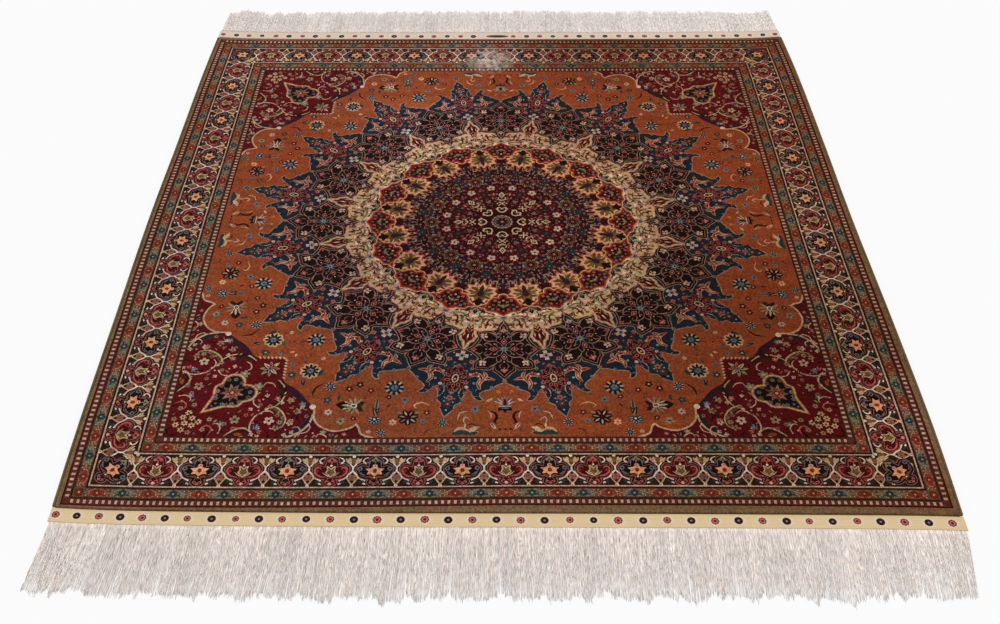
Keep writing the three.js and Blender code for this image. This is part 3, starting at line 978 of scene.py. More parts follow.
def zone_middles(points, triangles, zone):
    """For every triangle, the middle of the largest triangle in its zone."""
    a, b, c = (points[triangles[:, k]] for k in range(3))
    size = np.abs((b[:, 0] - a[:, 0]) * (c[:, 1] - a[:, 1]) - (b[:, 1] - a[:, 1]) * (c[:, 0] - a[:, 0]))
    order = np.argsort(size, kind="stable")
    largest = np.zeros(len(triangles), int)
    largest[zone[order]] = order
    return ((a + b + c) / 3)[largest[zone]]


def coloured(points, triangles, zone, shapes, outline):
    """The yarn of each triangle: its topmost outline's, or -1 outside the ground."""
    middle = zone_middles(points, triangles, zone)
    yarns = np.full(len(triangles), -1)
    for o, yarn in shapes:
        near = np.flatnonzero(((middle >= o.min(axis=0)) & (middle <= o.max(axis=0))).all(axis=1))
        yarns[near[inside(middle[near], o)]] = YARN_NAMES.index(yarn)
    yarns[~inside(middle, outline)] = -1
    return yarns


def sides_of(triangles):
    """Every edge once, the edge number of each triangle's sides, and how often each edge is used."""
    sides = np.concatenate([triangles[:, [0, 1]], triangles[:, [1, 2]], triangles[:, [2, 0]]])
    edges, which, uses = np.unique(np.sort(sides, axis=1), axis=0, return_inverse=True, return_counts=True)
    return edges, which.reshape(-1), uses


def knotted(chart, outline):
    """Cuts the ground inside the outline along every line of its chart, each triangle in its topmost yarn.

    The first cut uses all outlines. The second keeps only the lines where two yarns really meet."""
    outline = outline / 100
    low, high = outline.min(axis=0) - 1e-6, outline.max(axis=0) + 1e-6
    shapes = [(o / 100, yarn) for o, yarn in chart]
    shapes = [(o, yarn) for o, yarn in shapes
              if (o.max(axis=0) > low).all() and (o.min(axis=0) < high).all()]
    corners, edges = [], []
    for o in [outline] + [o for o, _ in shapes]:
        first, count = len(corners), len(o)
        corners.extend(o)
        edges.extend((first + i, first + (i + 1) % count) for i in range(count))
    points, triangles, zone = triangulated(corners, edges)
    yarns = coloured(points, triangles, zone, shapes, outline)
    lines, which, uses = sides_of(triangles)
    lowest, highest = np.full(len(lines), 99), np.full(len(lines), -99)
    np.minimum.at(lowest, which, np.tile(yarns, 3))
    np.maximum.at(highest, which, np.tile(yarns, 3))
    lines = lines[(lowest != highest) | (uses == 1)]
    used, lines = np.unique(lines, return_inverse=True)
    points, triangles, zone = triangulated(points[used], lines.reshape(-1, 2).tolist())
    yarns = coloured(points, triangles, zone, shapes, outline)
    kept = yarns >= 0
    used, triangles = np.unique(triangles[kept], return_inverse=True)
    return faced_up((points[used], triangles.reshape(-1, 3), yarns[kept]))


def faced_up(piece):
    """The piece with every triangle running anticlockwise."""
    points, triangles, yarns = piece
    a, b, c = (points[triangles[:, k]] for k in range(3))
    area = (b[:, 0] - a[:, 0]) * (c[:, 1] - a[:, 1]) - (b[:, 1] - a[:, 1]) * (c[:, 0] - a[:, 0])
    triangles = triangles.copy()
    triangles[area < 0] = triangles[area < 0][:, ::-1]
    return points, triangles, yarns


def moved(piece, at=(0, 0), turn=0.0, scale=(1, 1)):
    """A copy of a piece of knotting, scaled, turned anticlockwise by degrees, and moved."""
    points, triangles, yarns = piece
    c, s = math.cos(math.radians(turn)), math.sin(math.radians(turn))
    return faced_up(((points * scale) @ np.array([[c, s], [-s, c]]) + at, triangles, yarns))


def joined(pieces):
    """Several pieces of knotting as one, with the points that they share merged."""
    firsts = np.cumsum([0] + [len(points) for points, _, _ in pieces[:-1]])
    points = np.vstack([points for points, _, _ in pieces])
    triangles = np.vstack([triangles + first for (_, triangles, _), first in zip(pieces, firsts)])
    yarns = np.concatenate([yarns for _, _, yarns in pieces])
    for shift in ((0, 0), (0.5, 0), (0, 0.5), (0.5, 0.5)):
        cells = np.floor(points / MERGE + shift).astype(np.int64)
        _, kept, which = np.unique(cells[:, 0] * 10**8 + cells[:, 1], return_index=True, return_inverse=True)
        points, triangles = points[kept], which.reshape(-1)[triangles]
    whole = (triangles != np.roll(triangles, 1, axis=1)).all(axis=1)
    return points, triangles[whole], yarns[whole]


def rims_of(triangles):
    """The closed loops of points round an area of triangles, with the area on their left."""
    sides = np.concatenate([triangles[:, [0, 1]], triangles[:, [1, 2]], triangles[:, [2, 0]]])
    _, which, uses = sides_of(triangles)
    following = dict(sides[uses[which] == 1].tolist())
    loops = []
    while following:
        loop = [next(iter(following))]
        while loop[-1] in following:
            loop.append(following.pop(loop[-1]))
        loops.append(np.array(loop[:-1]))
    return sorted(loops, key=len, reverse=True)


def square_ring(inner, outer, cells, corner, count, width):
    """A stripe round the rug: count cells along each side, taken in turn, and one at each corner.

    The cells are drawn this wide, as high as the stripe, with +y towards the rug's centre."""
    pitch, middle = 2 * inner / count, (inner + outer) / 2
    row = [
        moved(cells[k % len(cells)], (-inner + pitch * (k + 0.5), -middle), 0, (pitch / width, 1))
        for k in range(count)
    ]
    side = joined(row + [moved(corner, (-middle, -middle))])
    return joined([moved(side, turn=90 * k) for k in range(4)])


def stitched(piece, levels):
    """Splits the triangles that have an edge on a line x or y = +-level at every other point on it."""
    points, triangles, yarns = piece
    for axis in (0, 1):
        for level in [-v for v in levels] + list(levels):
            on_line = np.abs(points[:, axis] - level) < 1e-4
            row = np.flatnonzero(on_line)
            row = row[np.argsort(points[row, 1 - axis])]
            rank = np.empty(len(points), int)
            rank[row] = np.arange(len(row))
            new, old = [], np.ones(len(triangles), bool)
            for t in np.flatnonzero(on_line[triangles].sum(axis=1) == 2):
                a, b, c = triangles[t]
                if not on_line[a]:
                    a, b, c = b, c, a
                elif not on_line[b]:
                    a, b, c = c, a, b
                step = 1 if rank[b] > rank[a] else -1
                stops = row[np.arange(rank[a], rank[b] + step, step)]
                if len(stops) > 2:
                    old[t] = False
                    new += [(p, q, c, yarns[t]) for p, q in zip(stops, stops[1:])]
            if new:
                new = np.array(new)
                triangles = np.vstack([triangles[old], new[:, :3]])
                yarns = np.concatenate([yarns[old], new[:, 3]])
    return points, triangles, yarns


# ---- laying the chart on the rug


def linear(colour):
    """An sRGB hex colour as linear red, green and blue."""
    channels = [((colour >> shift) & 255) / 255 for shift in (16, 8, 0)]
    return [c / 12.92 if c <= 0.04045 else ((c + 0.055) / 1.055) ** 2.4 for c in channels]


def level_outline(node, top):
    """A flat CAD piece's outline at its top face, or at the middle of its height."""
    p = np.array([v.co[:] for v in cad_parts[node].data.vertices])
    goal = p[:, 2].max() if top else (p[:, 2].max() + p[:, 2].min()) / 2
    off = np.abs(p[:, 2] - goal)
    return np.unique(np.round(p[off < off.min() + 1e-5][:, :2], 6), axis=0)


def pile_edges(top):
    """The pile's near, far, left and right edges, each a row of points from corner to corner."""
    ring = level_outline("pile", top)
    ring = ring[np.argsort(np.arctan2(ring[:, 1], ring[:, 0]))]
    total, lean = ring.sum(axis=1), ring[:, 0] - ring[:, 1]
    near_left, far_right = total.argmin(), total.argmax()
    near_right, far_left = lean.argmax(), lean.argmin()

    def run(a, b):
        return ring[np.arange(a, b + 1 + (len(ring) if b < a else 0)) % len(ring)]

    return {
        "near": run(near_left, near_right),
        "right": run(near_right, far_right),
        "far": run(far_right, far_left)[::-1],
        "left": run(far_left, near_left)[::-1],
    }


def edge_point(edge, axis, share):
    """Points of an edge at shares of the way from its first corner to its last."""
    along = edge[0, axis] + (edge[-1, axis] - edge[0, axis]) * share
    other = np.interp(along, edge[:, axis], edge[:, 1 - axis])
    return np.column_stack([along, other] if axis == 0 else [other, along])


pile_low, pile_high = (np.array(corner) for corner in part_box("pile"))
chart_origin = (pile_low[:2] + pile_high[:2]) / 2 + CHART_CENTRE


def column(table, key, at):
    return np.interp(at, table["at"], table[key])


# How far the border stripes wander outwards at each side, in cartouches. A side runs from -1 to 1.
WANDER = {
    "at": (-1, -0.75, -0.5, -0.25, 0, 0.5, 1),
    "near": (0.15, 0.14, 0.11, 0.07, 0.02, 0.01, 0.03),
    "far": (0.03, 0.06, 0.1, 0.1, 0.1, 0.07, 0.04),
    "left": (-0.05, -0.03, -0.03, -0.02, -0.03, -0.04, -0.04),
    "right": (-0.06, -0.07, -0.08, -0.07, -0.05, -0.04, -0.04),
}


def wandered(points):
    """The chart with its border stripes a little out of true, made up for in the plain band outside."""
    x, y = points.T
    edge = STRIPE_EDGES[-1]

    def reach(v, half):
        v = np.abs(v)
        return np.where(v < edge, (v / edge) ** 3, (half - v) / (half - edge))

    sideways = np.where(x < 0, -column(WANDER, "left", y / HALF_Y), column(WANDER, "right", y / HALF_Y))
    endways = np.where(y < 0, -column(WANDER, "near", x / HALF_X), column(WANDER, "far", x / HALF_X))
    return np.column_stack([x + sideways * reach(x, HALF_X), y + endways * reach(y, HALF_Y)])


def laid_out(points, edges):
    """Puts points of the chart on the rug, whose uneven edges pull the outer part with them."""
    points = wandered(points)
    x, y = points[:, 0] / HALF_X, points[:, 1] / HALF_Y
    s, t = (x + 1) / 2, (y + 1) / 2

    def pull(share):
        return (np.clip((share - 0.25) / 0.75, 0, 1) ** 1.6)[:, None]

    def shift(name, axis, share, corner):
        base = points.copy()
        base[:, 1 - axis] = corner
        return edge_point(edges[name], axis, share) - (base * REPEAT + chart_origin)

    weights = {"near": pull(-y), "far": pull(y), "left": pull(-x), "right": pull(x)}
    out = points * REPEAT + chart_origin
    out += weights["near"] * shift("near", 0, s, -HALF_Y) + weights["far"] * shift("far", 0, s, HALF_Y)
    out += weights["left"] * shift("left", 1, t, -HALF_X) + weights["right"] * shift("right", 1, t, HALF_X)
    for end, way in (("near", -1), ("far", 1)):
        for side, corner, out_way in (("left", 0, -1), ("right", -1, 1)):
            base = np.array([out_way * HALF_X, way * HALF_Y]) * REPEAT + chart_origin
            out -= weights[end] * weights[side] * (edges[end][corner] - base)
    return out


def new_mesh(name, vertices, faces, colours=None, smooth=None):
    """An object at the origin from points in metres. colours holds one linear colour for each face."""
    mesh = bpy.data.meshes.new(name)
    mesh.from_pydata(vertices, [], faces)
    if colours is not None:
        layer = mesh.color_attributes.new("yarn", "BYTE_COLOR", "CORNER")
        counts = np.array([len(f) for f in faces])
        shown = np.repeat(np.column_stack([colours, np.ones(len(colours))]), counts, axis=0)
        layer.data.foreach_set("color", shown.ravel())
    if smooth is not None:
        mesh.polygons.foreach_set("use_smooth", smooth)
    piece = bpy.data.objects.new(name, mesh)
    bpy.context.scene.collection.objects.link(piece)
    return piece


def fill(loops, spacing):
    """Triangles over the flat area between closed loops, with points inside it at a spacing."""
    low, high = loops[0].min(axis=0), loops[0].max(axis=0)
    grid = np.array([(x, y) for x in np.arange(low[0] + spacing, high[0] - spacing / 2, spacing)
                     for y in np.arange(low[1] + spacing, high[1] - spacing / 2, spacing)]).reshape(-1, 2)
    grid = grid[np.logical_xor.reduce([inside(grid, loop) for loop in loops])]
    corners, edges = np.vstack(loops + [grid]) / REPEAT, []
    first = 0
    for loop in loops:
        edges += [(first + i, first + (i + 1) % len(loop)) for i in range(len(loop))]
        first += len(loop)
    points, triangles, zone = triangulated(corners, edges)
    points = points * REPEAT
    middle = zone_middles(points, triangles, zone)
    triangles = triangles[np.logical_xor.reduce([inside(middle, loop) for loop in loops])]
    return points, faced_up((points, triangles, None))[1]


def slab(name, top, triangles, colours, loops, edge_colour, back_colour, spacing):
    """A closed flat piece: its patterned top, the rings of its rims from the top down, and its underside.

    top holds (x, y, z). Each loop is the numbers of an outline's points and its rings, each (points, z)."""
    vertices = [np.asarray(top)]
    faces = np.asarray(triangles).tolist()
    shades = [colours]
    first = len(top)
    for loop, rings in loops:
        above, count = np.asarray(loop), len(loop)
        after = np.roll(np.arange(count), -1)
        for points, z in rings:
            vertices.append(np.column_stack([points, np.full(count, z)]))
            below = first + np.arange(count)
            faces += [[above[i], below[i], below[j], above[j]] for i, j in enumerate(after)]
            shades.append(np.tile(edge_colour, (count, 1)))
            above, first = below, first + count
    foot = loops[0][1][-1][1]
    points, under = fill([rings[-1][0] for _, rings in loops], spacing)
    vertices.append(np.column_stack([points, np.full(len(points), foot)]))
    faces += (first + under[:, ::-1]).tolist()
    shades.append(np.tile(back_colour, (len(under), 1)))
    smooth = np.zeros(len(faces), bool)
    smooth[len(triangles):len(faces) - len(under)] = True
    piece = new_mesh(name, np.vstack(vertices), faces, np.vstack(shades), smooth)
    shape = bmesh.new()
    shape.from_mesh(piece.data)
    bmesh.ops.remove_doubles(shape, verts=shape.verts, dist=2e-6)
    shape.to_mesh(piece.data)
    shape.free()
    return piece


# ---- pile


def corner_cell():
    """The corner of the main border: a dark cartouche turned to the diagonal."""
    side, rim = MAIN_HEIGHT, (MAIN_HEIGHT - MAIN_LINE) / 2
    chart = [(box(side, side), "umber")]
    chart += swapped(put(between_cartouches(), (side / 2 - 50, 0)))
    heart = banded(cartouche(), "mauve", 1.8, "wine", 4.5, "mauve", 1.4, "ink") + peach_flower()
    chart += put(heart, (-2, -2), -45, 0.98)
    chart += [(box(side, MAIN_LINE, (0, -rim)), "shell"), (box(MAIN_LINE, MAIN_LINE, (rim, rim)), "shell")]
    return chart + [(box(MAIN_LINE, side, (-rim, 0)), "shell")]


def cut_cell(chart):
    return knotted(chart, chart[0][0])


def plain_cell(width, height, yarn):
    return cut_cell([(box(width, height), yarn)])


def frame_band(inner, yarn):
    """The plain band round everything, wider at the ends than at the sides."""
    steps = np.linspace(-inner, inner, 41)
    xs, ys = (np.concatenate([[-half], steps, [half]]) for half in (HALF_X, HALF_Y))
    points = np.array([(x, y) for y in ys for x in xs])
    triangles = []
    for j in range(len(ys) - 1):
        for i in range(len(xs) - 1):
            if i in (0, len(xs) - 2) or j in (0, len(ys) - 2):
                a = j * len(xs) + i
                triangles += [(a, a + 1, a + len(xs) + 1), (a, a + len(xs) + 1, a + len(xs))]
    return points, np.array(triangles), np.full(len(triangles), YARN_NAMES.index(yarn))


PLAIN_CELLS = 40  # into which a plain stripe is cut along each side
# Each stripe of the border from the field outwards: its inner edge, in cartouches, what is on it, its
# ground, and how many cells it has along a side.
STRIPES = [
    (8.0, "plain", "umber", PLAIN_CELLS),
    (8.03, "teeth", "brick", 113),
    (8.17, "plain", "umber", PLAIN_CELLS),
    (8.2, "guard", "earth", 27),
    (8.46, "plain", "ink", PLAIN_CELLS),
    (8.5, "main", "umber", 17),
    (9.45, "plain", "ink", PLAIN_CELLS),
    (9.49, "guard", "earth", 33),
    (9.75, "plain", "umber", PLAIN_CELLS),
    (9.79, "teeth", "brick", 137),
    (9.93, "plain", "maroon", PLAIN_CELLS),
]
STRIPE_EDGES = [row[0] for row in STRIPES] + [9.97]


def stripe(inner, outer, cells, yarn, count):
    """One stripe of the border, right round the rug."""
    height = 100 * (outer - inner)
    corner, width = plain_cell(height, height, yarn), 1
    if cells == "main":
        row = [cut_cell(border_cell("crimson", "maroon", tulip_flower)),
               cut_cell(border_cell("wine", "ink", peach_flower))]
        corner = cut_cell(corner_cell())
    elif cells == "guard":
        width = GUARD_WIDTH / 100
        row = [cut_cell(guard_cell("red", "peach", "russet", 7)),
               cut_cell(guard_cell("teal", "sky", "lichen", 8.5))]
        corner = cut_cell([(box(height, height), yarn)] + rosette(8, 8.5, "ink", "red", "gold", 0.3, 0.35))
    elif cells == "teeth":
        width = 2 * inner / count
        row = [cut_cell(tooth_cell(100 * width, height, yarn))]
    else:
        row = [plain_cell(100, height, yarn)]
    return square_ring(inner, outer, row, corner, count, width)


def border_knots():
    """All stripes of the border and the plain band, with every corner matched along the lines between."""
    pieces = [stripe(inner, outer, *row) for (inner, *row), outer in zip(STRIPES, STRIPE_EDGES[1:])]
    return stitched(joined(pieces + [frame_band(STRIPE_EDGES[-1], "khaki")]), STRIPE_EDGES)


def field_knots():
    quarter = knotted(*field_quarter())
    return joined([moved(quarter, scale=(x, y)) for x in (-1, 1) for y in (-1, 1)])


def medallion_knots(part):
    """The medallion's middle, or the ring round it. They meet on a circle."""
    chart, outline = medallion_sector()
    seam = polar([(MEDALLION_SEAM, a) for a in np.linspace(0, RAY_STEP, 7)])
    outline = np.vstack([outline[:1], seam]) if part == "middle" else np.vstack([outline[1:], seam[::-1]])
    sector = knotted(chart, outline)
    return joined([moved(sector, turn=45 * k, scale=(side, 1)) for k in range(8) for side in (-1, 1)])


BACK_SPACING = 60 * MM  # between the points that cut up the plain back


def pile_part(name, knots):
    """A part of the pile, as thick as the whole: its patterned face, its rims and its back."""
    points, triangles, yarns = knots
    flat = laid_out(points, pile_edges(True))
    top_z, foot_z = pile_high[2], pile_low[2]
    loops = []
    for loop in rims_of(triangles):
        reach = np.maximum(np.abs(points[loop, 0]) / HALF_X, np.abs(points[loop, 1]) / HALF_Y)
        if reach.min() < 0.999:
            loops.append((loop, [(flat[loop], foot_z)]))
            continue
        wall = laid_out(points[loop], pile_edges(False))
        brow = flat[loop] + (wall - flat[loop]) * 0.7
        rings = [(brow, top_z - 0.3 * PILE_ROUND), (wall, top_z - PILE_ROUND), (wall, foot_z + PILE_ROUND),
                 (brow, foot_z + 0.3 * PILE_ROUND), (flat[loop], foot_z)]
        loops.append((loop, rings))
    palette = np.array([linear(c) for c in YARNS.values()])
    top = np.column_stack([flat, np.full(len(flat), top_z)])
    return slab(name, top, triangles, palette[yarns], loops, linear(YARNS["khaki"]), linear(YARNS["bronze"]),
                BACK_SPACING)


# ---- kilim bands

DOT_INSET = 9.5 * MM  # from a strip's end to the middle of its first dot
DOT_RADIUS = 5.6 * MM
BLANK = (48 * MM, 11 * MM)  # the plain oval in the middle of the far strip
BLANK_ROOM = 30 * MM  # kept clear of dots on either side of its middle
KILIM_ROUND = 0.4 * MM
WEFT_DYES = {"red": 0x84301F, "wine": 0x2A0C0E, "peach": 0xC48C7C, "rose": 0x9A7674}
NEAR_GROUND, FAR_GROUND = 0xDCC297, 0xDDC5AE


def strip_edges(node, top):
    """The near and far edge of a kilim strip, each from left to right."""
    ring = level_outline(node, top)
    pairs = ring[np.argsort(ring[:, 0])].reshape(-1, 2, 2)
    rows, lower = np.arange(len(pairs)), pairs[:, :, 1].argmin(axis=1)
    return pairs[rows, lower], pairs[rows, 1 - lower]


# How far a strip's dots stand to the left of an even spacing, in millimetres.
NEAR_DOTS = {"at": (-1, -0.75, 0, 0.4, 1), "shift": (1.5, 13, 14, 7, 8)}
FAR_DOTS = {"at": (-1, 1), "shift": (0, 0)}


def kilim_dots(width, height, count, shifts, plain_at=None):
    """The chart of a kilim strip in metres: alternate red rosettes and dark rings on cream."""
    chart = []
    share = np.linspace(-1, 1, count)
    places = share * (width / 2 - DOT_INSET) - column(shifts, "shift", share) * MM
    for k, x in enumerate(places):
        x += rng.normal(0, 0.6 * MM)
        if plain_at is not None and abs(x - plain_at) < BLANK_ROOM:
            continue
        at = (x, height / 2 + rng.normal(0, 0.4 * MM))
        radius = DOT_RADIUS * rng.normal(1, 0.06)
        chart.append((oval(3.4 * radius, 2.7 * radius, 10, at), "shell"))
        if k % 2:
            dots = [(circle(radius, 12), "wine"), (circle(0.27 * radius, 6), "rose")]
        else:
            dots = [(petals(8, radius, 0.14), "red"), (petals(8, 0.62 * radius, 0.3), "peach")]
            dots += [(circle(0.46 * radius, 7), "red"), (circle(0.24 * radius, 6), "wine")]
        chart += put(dots, at)
    if plain_at is not None:
        blank = oval(*BLANK, 16, (plain_at, height / 2))
        chart += banded(blank, "maroon", 1.2 * MM, "rose", 1 * MM, "maroon")
    return chart


def make_kilim(name, node, dots, shifts, ground, plain_at=None):
    low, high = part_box(node)
    near, far = strip_edges(node, True)
    near_wall, far_wall = strip_edges(node, False)
    width, height = high[0] - low[0], float(np.mean(far[:, 1] - near[:, 1]))
    middle = (low[0] + high[0]) / 2
    stations = near[:, 0] - middle
    outline = np.vstack([np.column_stack([stations, np.zeros(len(stations))]),
                         np.column_stack([stations, np.full(len(stations), height)])[::-1]])
    chart = [(outline, "ivory")] + kilim_dots(width, height, dots, shifts, plain_at)
    points, triangles, yarns = knotted([(o / UNIT, yarn) for o, yarn in chart], outline / UNIT)
    points = points * REPEAT

    def placed(p, a, b):
        x = p[:, 0] + middle
        share = p[:, 1] / height
        y = np.interp(x, a[:, 0], a[:, 1]) * (1 - share) + np.interp(x, b[:, 0], b[:, 1]) * share
        squeeze = (x - middle) / (near[-1, 0] - middle) * (near_wall[-1, 0] - near[-1, 0])
        return np.column_stack([x + (squeeze if a is near_wall else 0), y])

    loop = rims_of(triangles)[0]
    flat = placed(points, near, far)
    wall = placed(points[loop], near_wall, far_wall)
    top_z, foot_z = high[2], low[2]
    rings = [(wall, top_z - KILIM_ROUND), (wall, foot_z + KILIM_ROUND), (flat[loop], foot_z)]
    cream = dict(YARNS, ivory=ground, shell=ground + 0x000617, **WEFT_DYES)
    palette = np.array([linear(c) for c in cream.values()])
    top = np.column_stack([flat, np.full(len(flat), top_z)])
    return slab(name, top, triangles, palette[yarns], [(loop, rings)], linear(cream["ivory"]),
                linear(cream["ivory"]), BACK_SPACING / 2)


# ---- overcast sides

WRAP_PITCH = 1.5 * MM  # one turn of the overcasting yarn
CORD_SIDES = 8
CORD_INSET = 1 * MM  # from the cord's box to its first and last turn
CORD_HALF_WIDTH = 1.95 * MM
CORD_AXIS = 2.0 * MM  # from the gap beside the pile to the cord's middle
OVERCAST_SILK = 0x6A5638


def make_side_cord(name, node, edge_name, side):
    """The side cord: bundled warps overcast with silk, each turn of the yarn a small ridge."""
    low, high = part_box(node)
    edge = pile_edges(False)[edge_name]
    start, end = low[1] + CORD_INSET, high[1] - CORD_INSET
    count = int((end - start) / WRAP_PITCH) * 2 + 1
    y = np.linspace(start, end, count)
    half_w, half_h = CORD_HALF_WIDTH, (high[2] - low[2]) / 2
    x = np.interp(y, edge[:, 1], edge[:, 0]) + side * (GAP + CORD_AXIS)
    ridge = 1 - 0.1 * (np.arange(count) % 2) - 0.04 * rng.random(count)
    ridge[[0, -1]] = 0.6
    angles = np.arange(CORD_SIDES) * 2 * math.pi / CORD_SIDES + math.pi / CORD_SIDES
    profile = np.column_stack([np.cos(angles), np.sin(angles)]) / math.cos(math.pi / CORD_SIDES)
    profile = np.sign(profile) * np.abs(profile) ** 0.85
    profile = np.clip(profile, -1, 1)
    points = np.empty((count, CORD_SIDES, 3))
    points[:, :, 0] = x[:, None] + profile[:, 0] * half_w * ridge[:, None]
    points[:, :, 1] = y[:, None] + profile[:, 1] * 0.35 * MM
    points[:, :, 2] = (low[2] + high[2]) / 2 + profile[:, 1] * half_h * ridge[:, None]
    points[:, :, 1] = np.clip(points[:, :, 1], low[1], high[1])
    faces = []
    for i in range(count - 1):
        for j in range(CORD_SIDES):
            a, b = i * CORD_SIDES + j, i * CORD_SIDES + (j + 1) % CORD_SIDES
            faces.append((a, a + CORD_SIDES, b + CORD_SIDES, b))
    faces.append(tuple(range(CORD_SIDES)))
    faces.append(tuple((count - 1) * CORD_SIDES + j for j in range(CORD_SIDES))[::-1])
    tone = np.repeat(0.85 + 0.3 * rng.random((count + 1) // 2), 2)[:count - 1]
    run = np.convolve(rng.normal(0, 1, count + 60), np.ones(61) / 61, "valid")[:count - 1]
    tone = tone * (1 + 0.8 * run)
    khaki = np.array(linear(OVERCAST_SILK))
    shades = np.vstack([np.repeat(tone, CORD_SIDES)[:, None] * khaki, khaki, khaki])
    return new_mesh(name, points.reshape(-1, 3), faces, np.clip(shades, 0, 1))


# ---- fringes

STRANDS = 1560
STRAND_STEPS = 16
STRAND_RADIUS = 0.66 * MM
UNDYED_SILK = 0xF7EDE6
FRINGE_INSET = 3.0 * MM  # from a band's corner to its first strand
STRAY_SHARE = 0.012  # of the strands, a little longer and bent aside
CRIMPS = (5.0, 7.0)  # waves along a strand

# Fringe length, and how far its tips lie to the right of its roots, in millimetres.
NEAR_FRINGE = {"at": (-1, -0.5, 0, 0.5, 1), "length": (104, 106, 105, 104, 102),
               "lean": (-8, -3, 0, -4, -15)}
FAR_FRINGE = {"at": (-1, -0.4, 0.2, 0.7, 1), "length": (85, 92, 93, 91, 86), "lean": (3, 2, 0, -2, -4)}


def drifting(count, width):
    """Random numbers that change slowly along a row, each about the mean of width neighbours."""
    loose, first = rng.normal(0, 1, count + width), width // 2
    smooth = np.convolve(loose, np.hanning(width + 2)[1:-1], "same")
    return smooth[first:first + count] / (0.6 * width**0.5)


def make_fringe(name, node, kilim_node, table, out):
    """Warp ends lying loose on the floor: a close row of crimped strands in two crossing layers."""
    low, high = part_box(node)
    near, far = strip_edges(kilim_node, False)
    root_edge = near if out < 0 else far
    first, last = root_edge[0, 0] + FRINGE_INSET, root_edge[-1, 0] - FRINGE_INSET
    x0 = np.linspace(first, last, STRANDS)
    x0 += rng.uniform(-0.3, 0.3, STRANDS) * (last - first) / STRANDS
    y0 = np.interp(x0, root_edge[:, 0], root_edge[:, 1]) + out * GAP
    at = np.linspace(-1, 1, STRANDS)
    length = column(table, "length", at) * MM
    length = length + 2.8 * MM * drifting(STRANDS, 40) + 2.2 * MM * drifting(STRANDS, 9)
    length += rng.normal(-1.6 * MM, 1.8 * MM, STRANDS)
    stray = rng.random(STRANDS) < STRAY_SHARE
    length = np.where(stray, length + rng.uniform(2, 6, STRANDS) * MM, length)
    layer = (np.arange(STRANDS) % 2)[:, None]
    s = np.linspace(0, 1, STRAND_STEPS)[None, :]
    phase, phase2 = rng.uniform(0, 2 * math.pi, (2, STRANDS, 1))
    crimps = rng.uniform(*CRIMPS, (STRANDS, 1))
    x = x0[:, None] + (column(table, "lean", at) * MM)[:, None] * s**1.3
    x += 1.6 * MM * drifting(STRANDS, 90)[:, None] * s + 1.1 * MM * drifting(STRANDS, 24)[:, None] * s**1.5
    x += rng.normal(0, 0.55 * MM, (STRANDS, 1)) * s**1.5 + np.where(stray, 3 * MM, 0)[:, None] * s**6
    x += 0.35 * MM * np.sin(2 * math.pi * 1.3 * s + phase) * s**0.5
    x += rng.uniform(0.25, 0.6, (STRANDS, 1)) * MM * np.sin(2 * math.pi * crimps * s + phase2) * s**0.4
    y = y0[:, None] + out * length[:, None] * s
    top, foot = high[2] - STRAND_RADIUS * 1.1, low[2] + STRAND_RADIUS * 1.05
    level = 0.15 + 0.6 * layer + 0.22 * rng.random((STRANDS, 1))
    crimp = 0.18 * np.sin(2 * math.pi * crimps * s + phase)
    z = foot + (top - foot) * np.clip(level + crimp, 0, 1) * (1 - 0.3 * s)
    z[:, 0] = 0.9 * MM
    radius = STRAND_RADIUS * rng.uniform(0.85, 1.15, (STRANDS, 1)) * (1 - 0.5 * s**4)
    angles = np.array([math.pi / 2, math.pi * 7 / 6, math.pi * 11 / 6])
    points = np.empty((STRANDS, STRAND_STEPS, 3, 3))
    points[..., 0] = x[..., None] + radius[..., None] * np.cos(angles)
    points[..., 1] = y[..., None]
    points[..., 2] = np.maximum(z[..., None] + radius[..., None] * np.sin(angles), low[2] + 0.02 * MM)
    one = []
    for i in range(STRAND_STEPS - 1):
        for j in range(3):
            a, b = 3 * i + j, 3 * i + (j + 1) % 3
            quad = (a, b, b + 3, a + 3)
            one.append(quad if out < 0 else quad[::-1])
    faces = np.array(one)[None] + (np.arange(STRANDS) * STRAND_STEPS * 3)[:, None, None]
    faces = faces.reshape(-1, 4).tolist()
    for k in range(STRANDS):
        start = k * STRAND_STEPS * 3
        end = start + 3 * (STRAND_STEPS - 1)
        caps = [(start + 2, start + 1, start), (end, end + 1, end + 2)]
        faces += caps if out < 0 else [c[::-1] for c in caps]
    tone = rng.normal(1, 0.05, STRANDS) * (1 + 0.02 * drifting(STRANDS, 60))
    warp = np.array(linear(UNDYED_SILK))
    shades = np.vstack([np.repeat(tone, len(one))[:, None] * warp, np.repeat(tone, 2)[:, None] * warp])
    return new_mesh(name, points.reshape(-1, 3), faces, np.clip(shades, 0, 1), np.ones(len(faces), bool))


# ---- materials


def feed(node, links):
    """Links a node's inputs, by name or as _number, to sockets, or to the first output of other nodes."""
    for key, source in links.items():
        socket = source.outputs[0] if hasattr(source, "outputs") else source
        node.id_data.links.new(socket, node.inputs[int(key[1:]) if key[0] == "_" else key])


def add(material, kind, settings=None, **links):
    """Adds a node. settings are its properties and socket values, and links feed its inputs."""
    node = material.node_tree.nodes.new("ShaderNode" + kind)
    for key, value in (settings or {}).items():
        if isinstance(key, str) and hasattr(node, key):
            setattr(node, key, value)
        else:
            node.inputs[key].default_value = value
    feed(node, links)
    return node


def new_material(name, settings):
    """A material with one Principled shader, and that shader."""
    material = bpy.data.materials.new(name)
    material.use_nodes = True
    shader = material.node_tree.nodes["Principled BSDF"]
    for key, value in settings.items():
        shader.inputs[key].default_value = value
    return material, shader


# Painted shade: how much darker red, green and blue are made towards the rug's right side, away from the
# light.
PAINTED_RIGHT_SHADE = (-0.1, -0.17, -0.27)
# Painted light: how much green and blue drop over the far half, for the warm cast of the light on its silk.
PAINTED_FAR_TINT = (0.0, -0.08, -0.12)
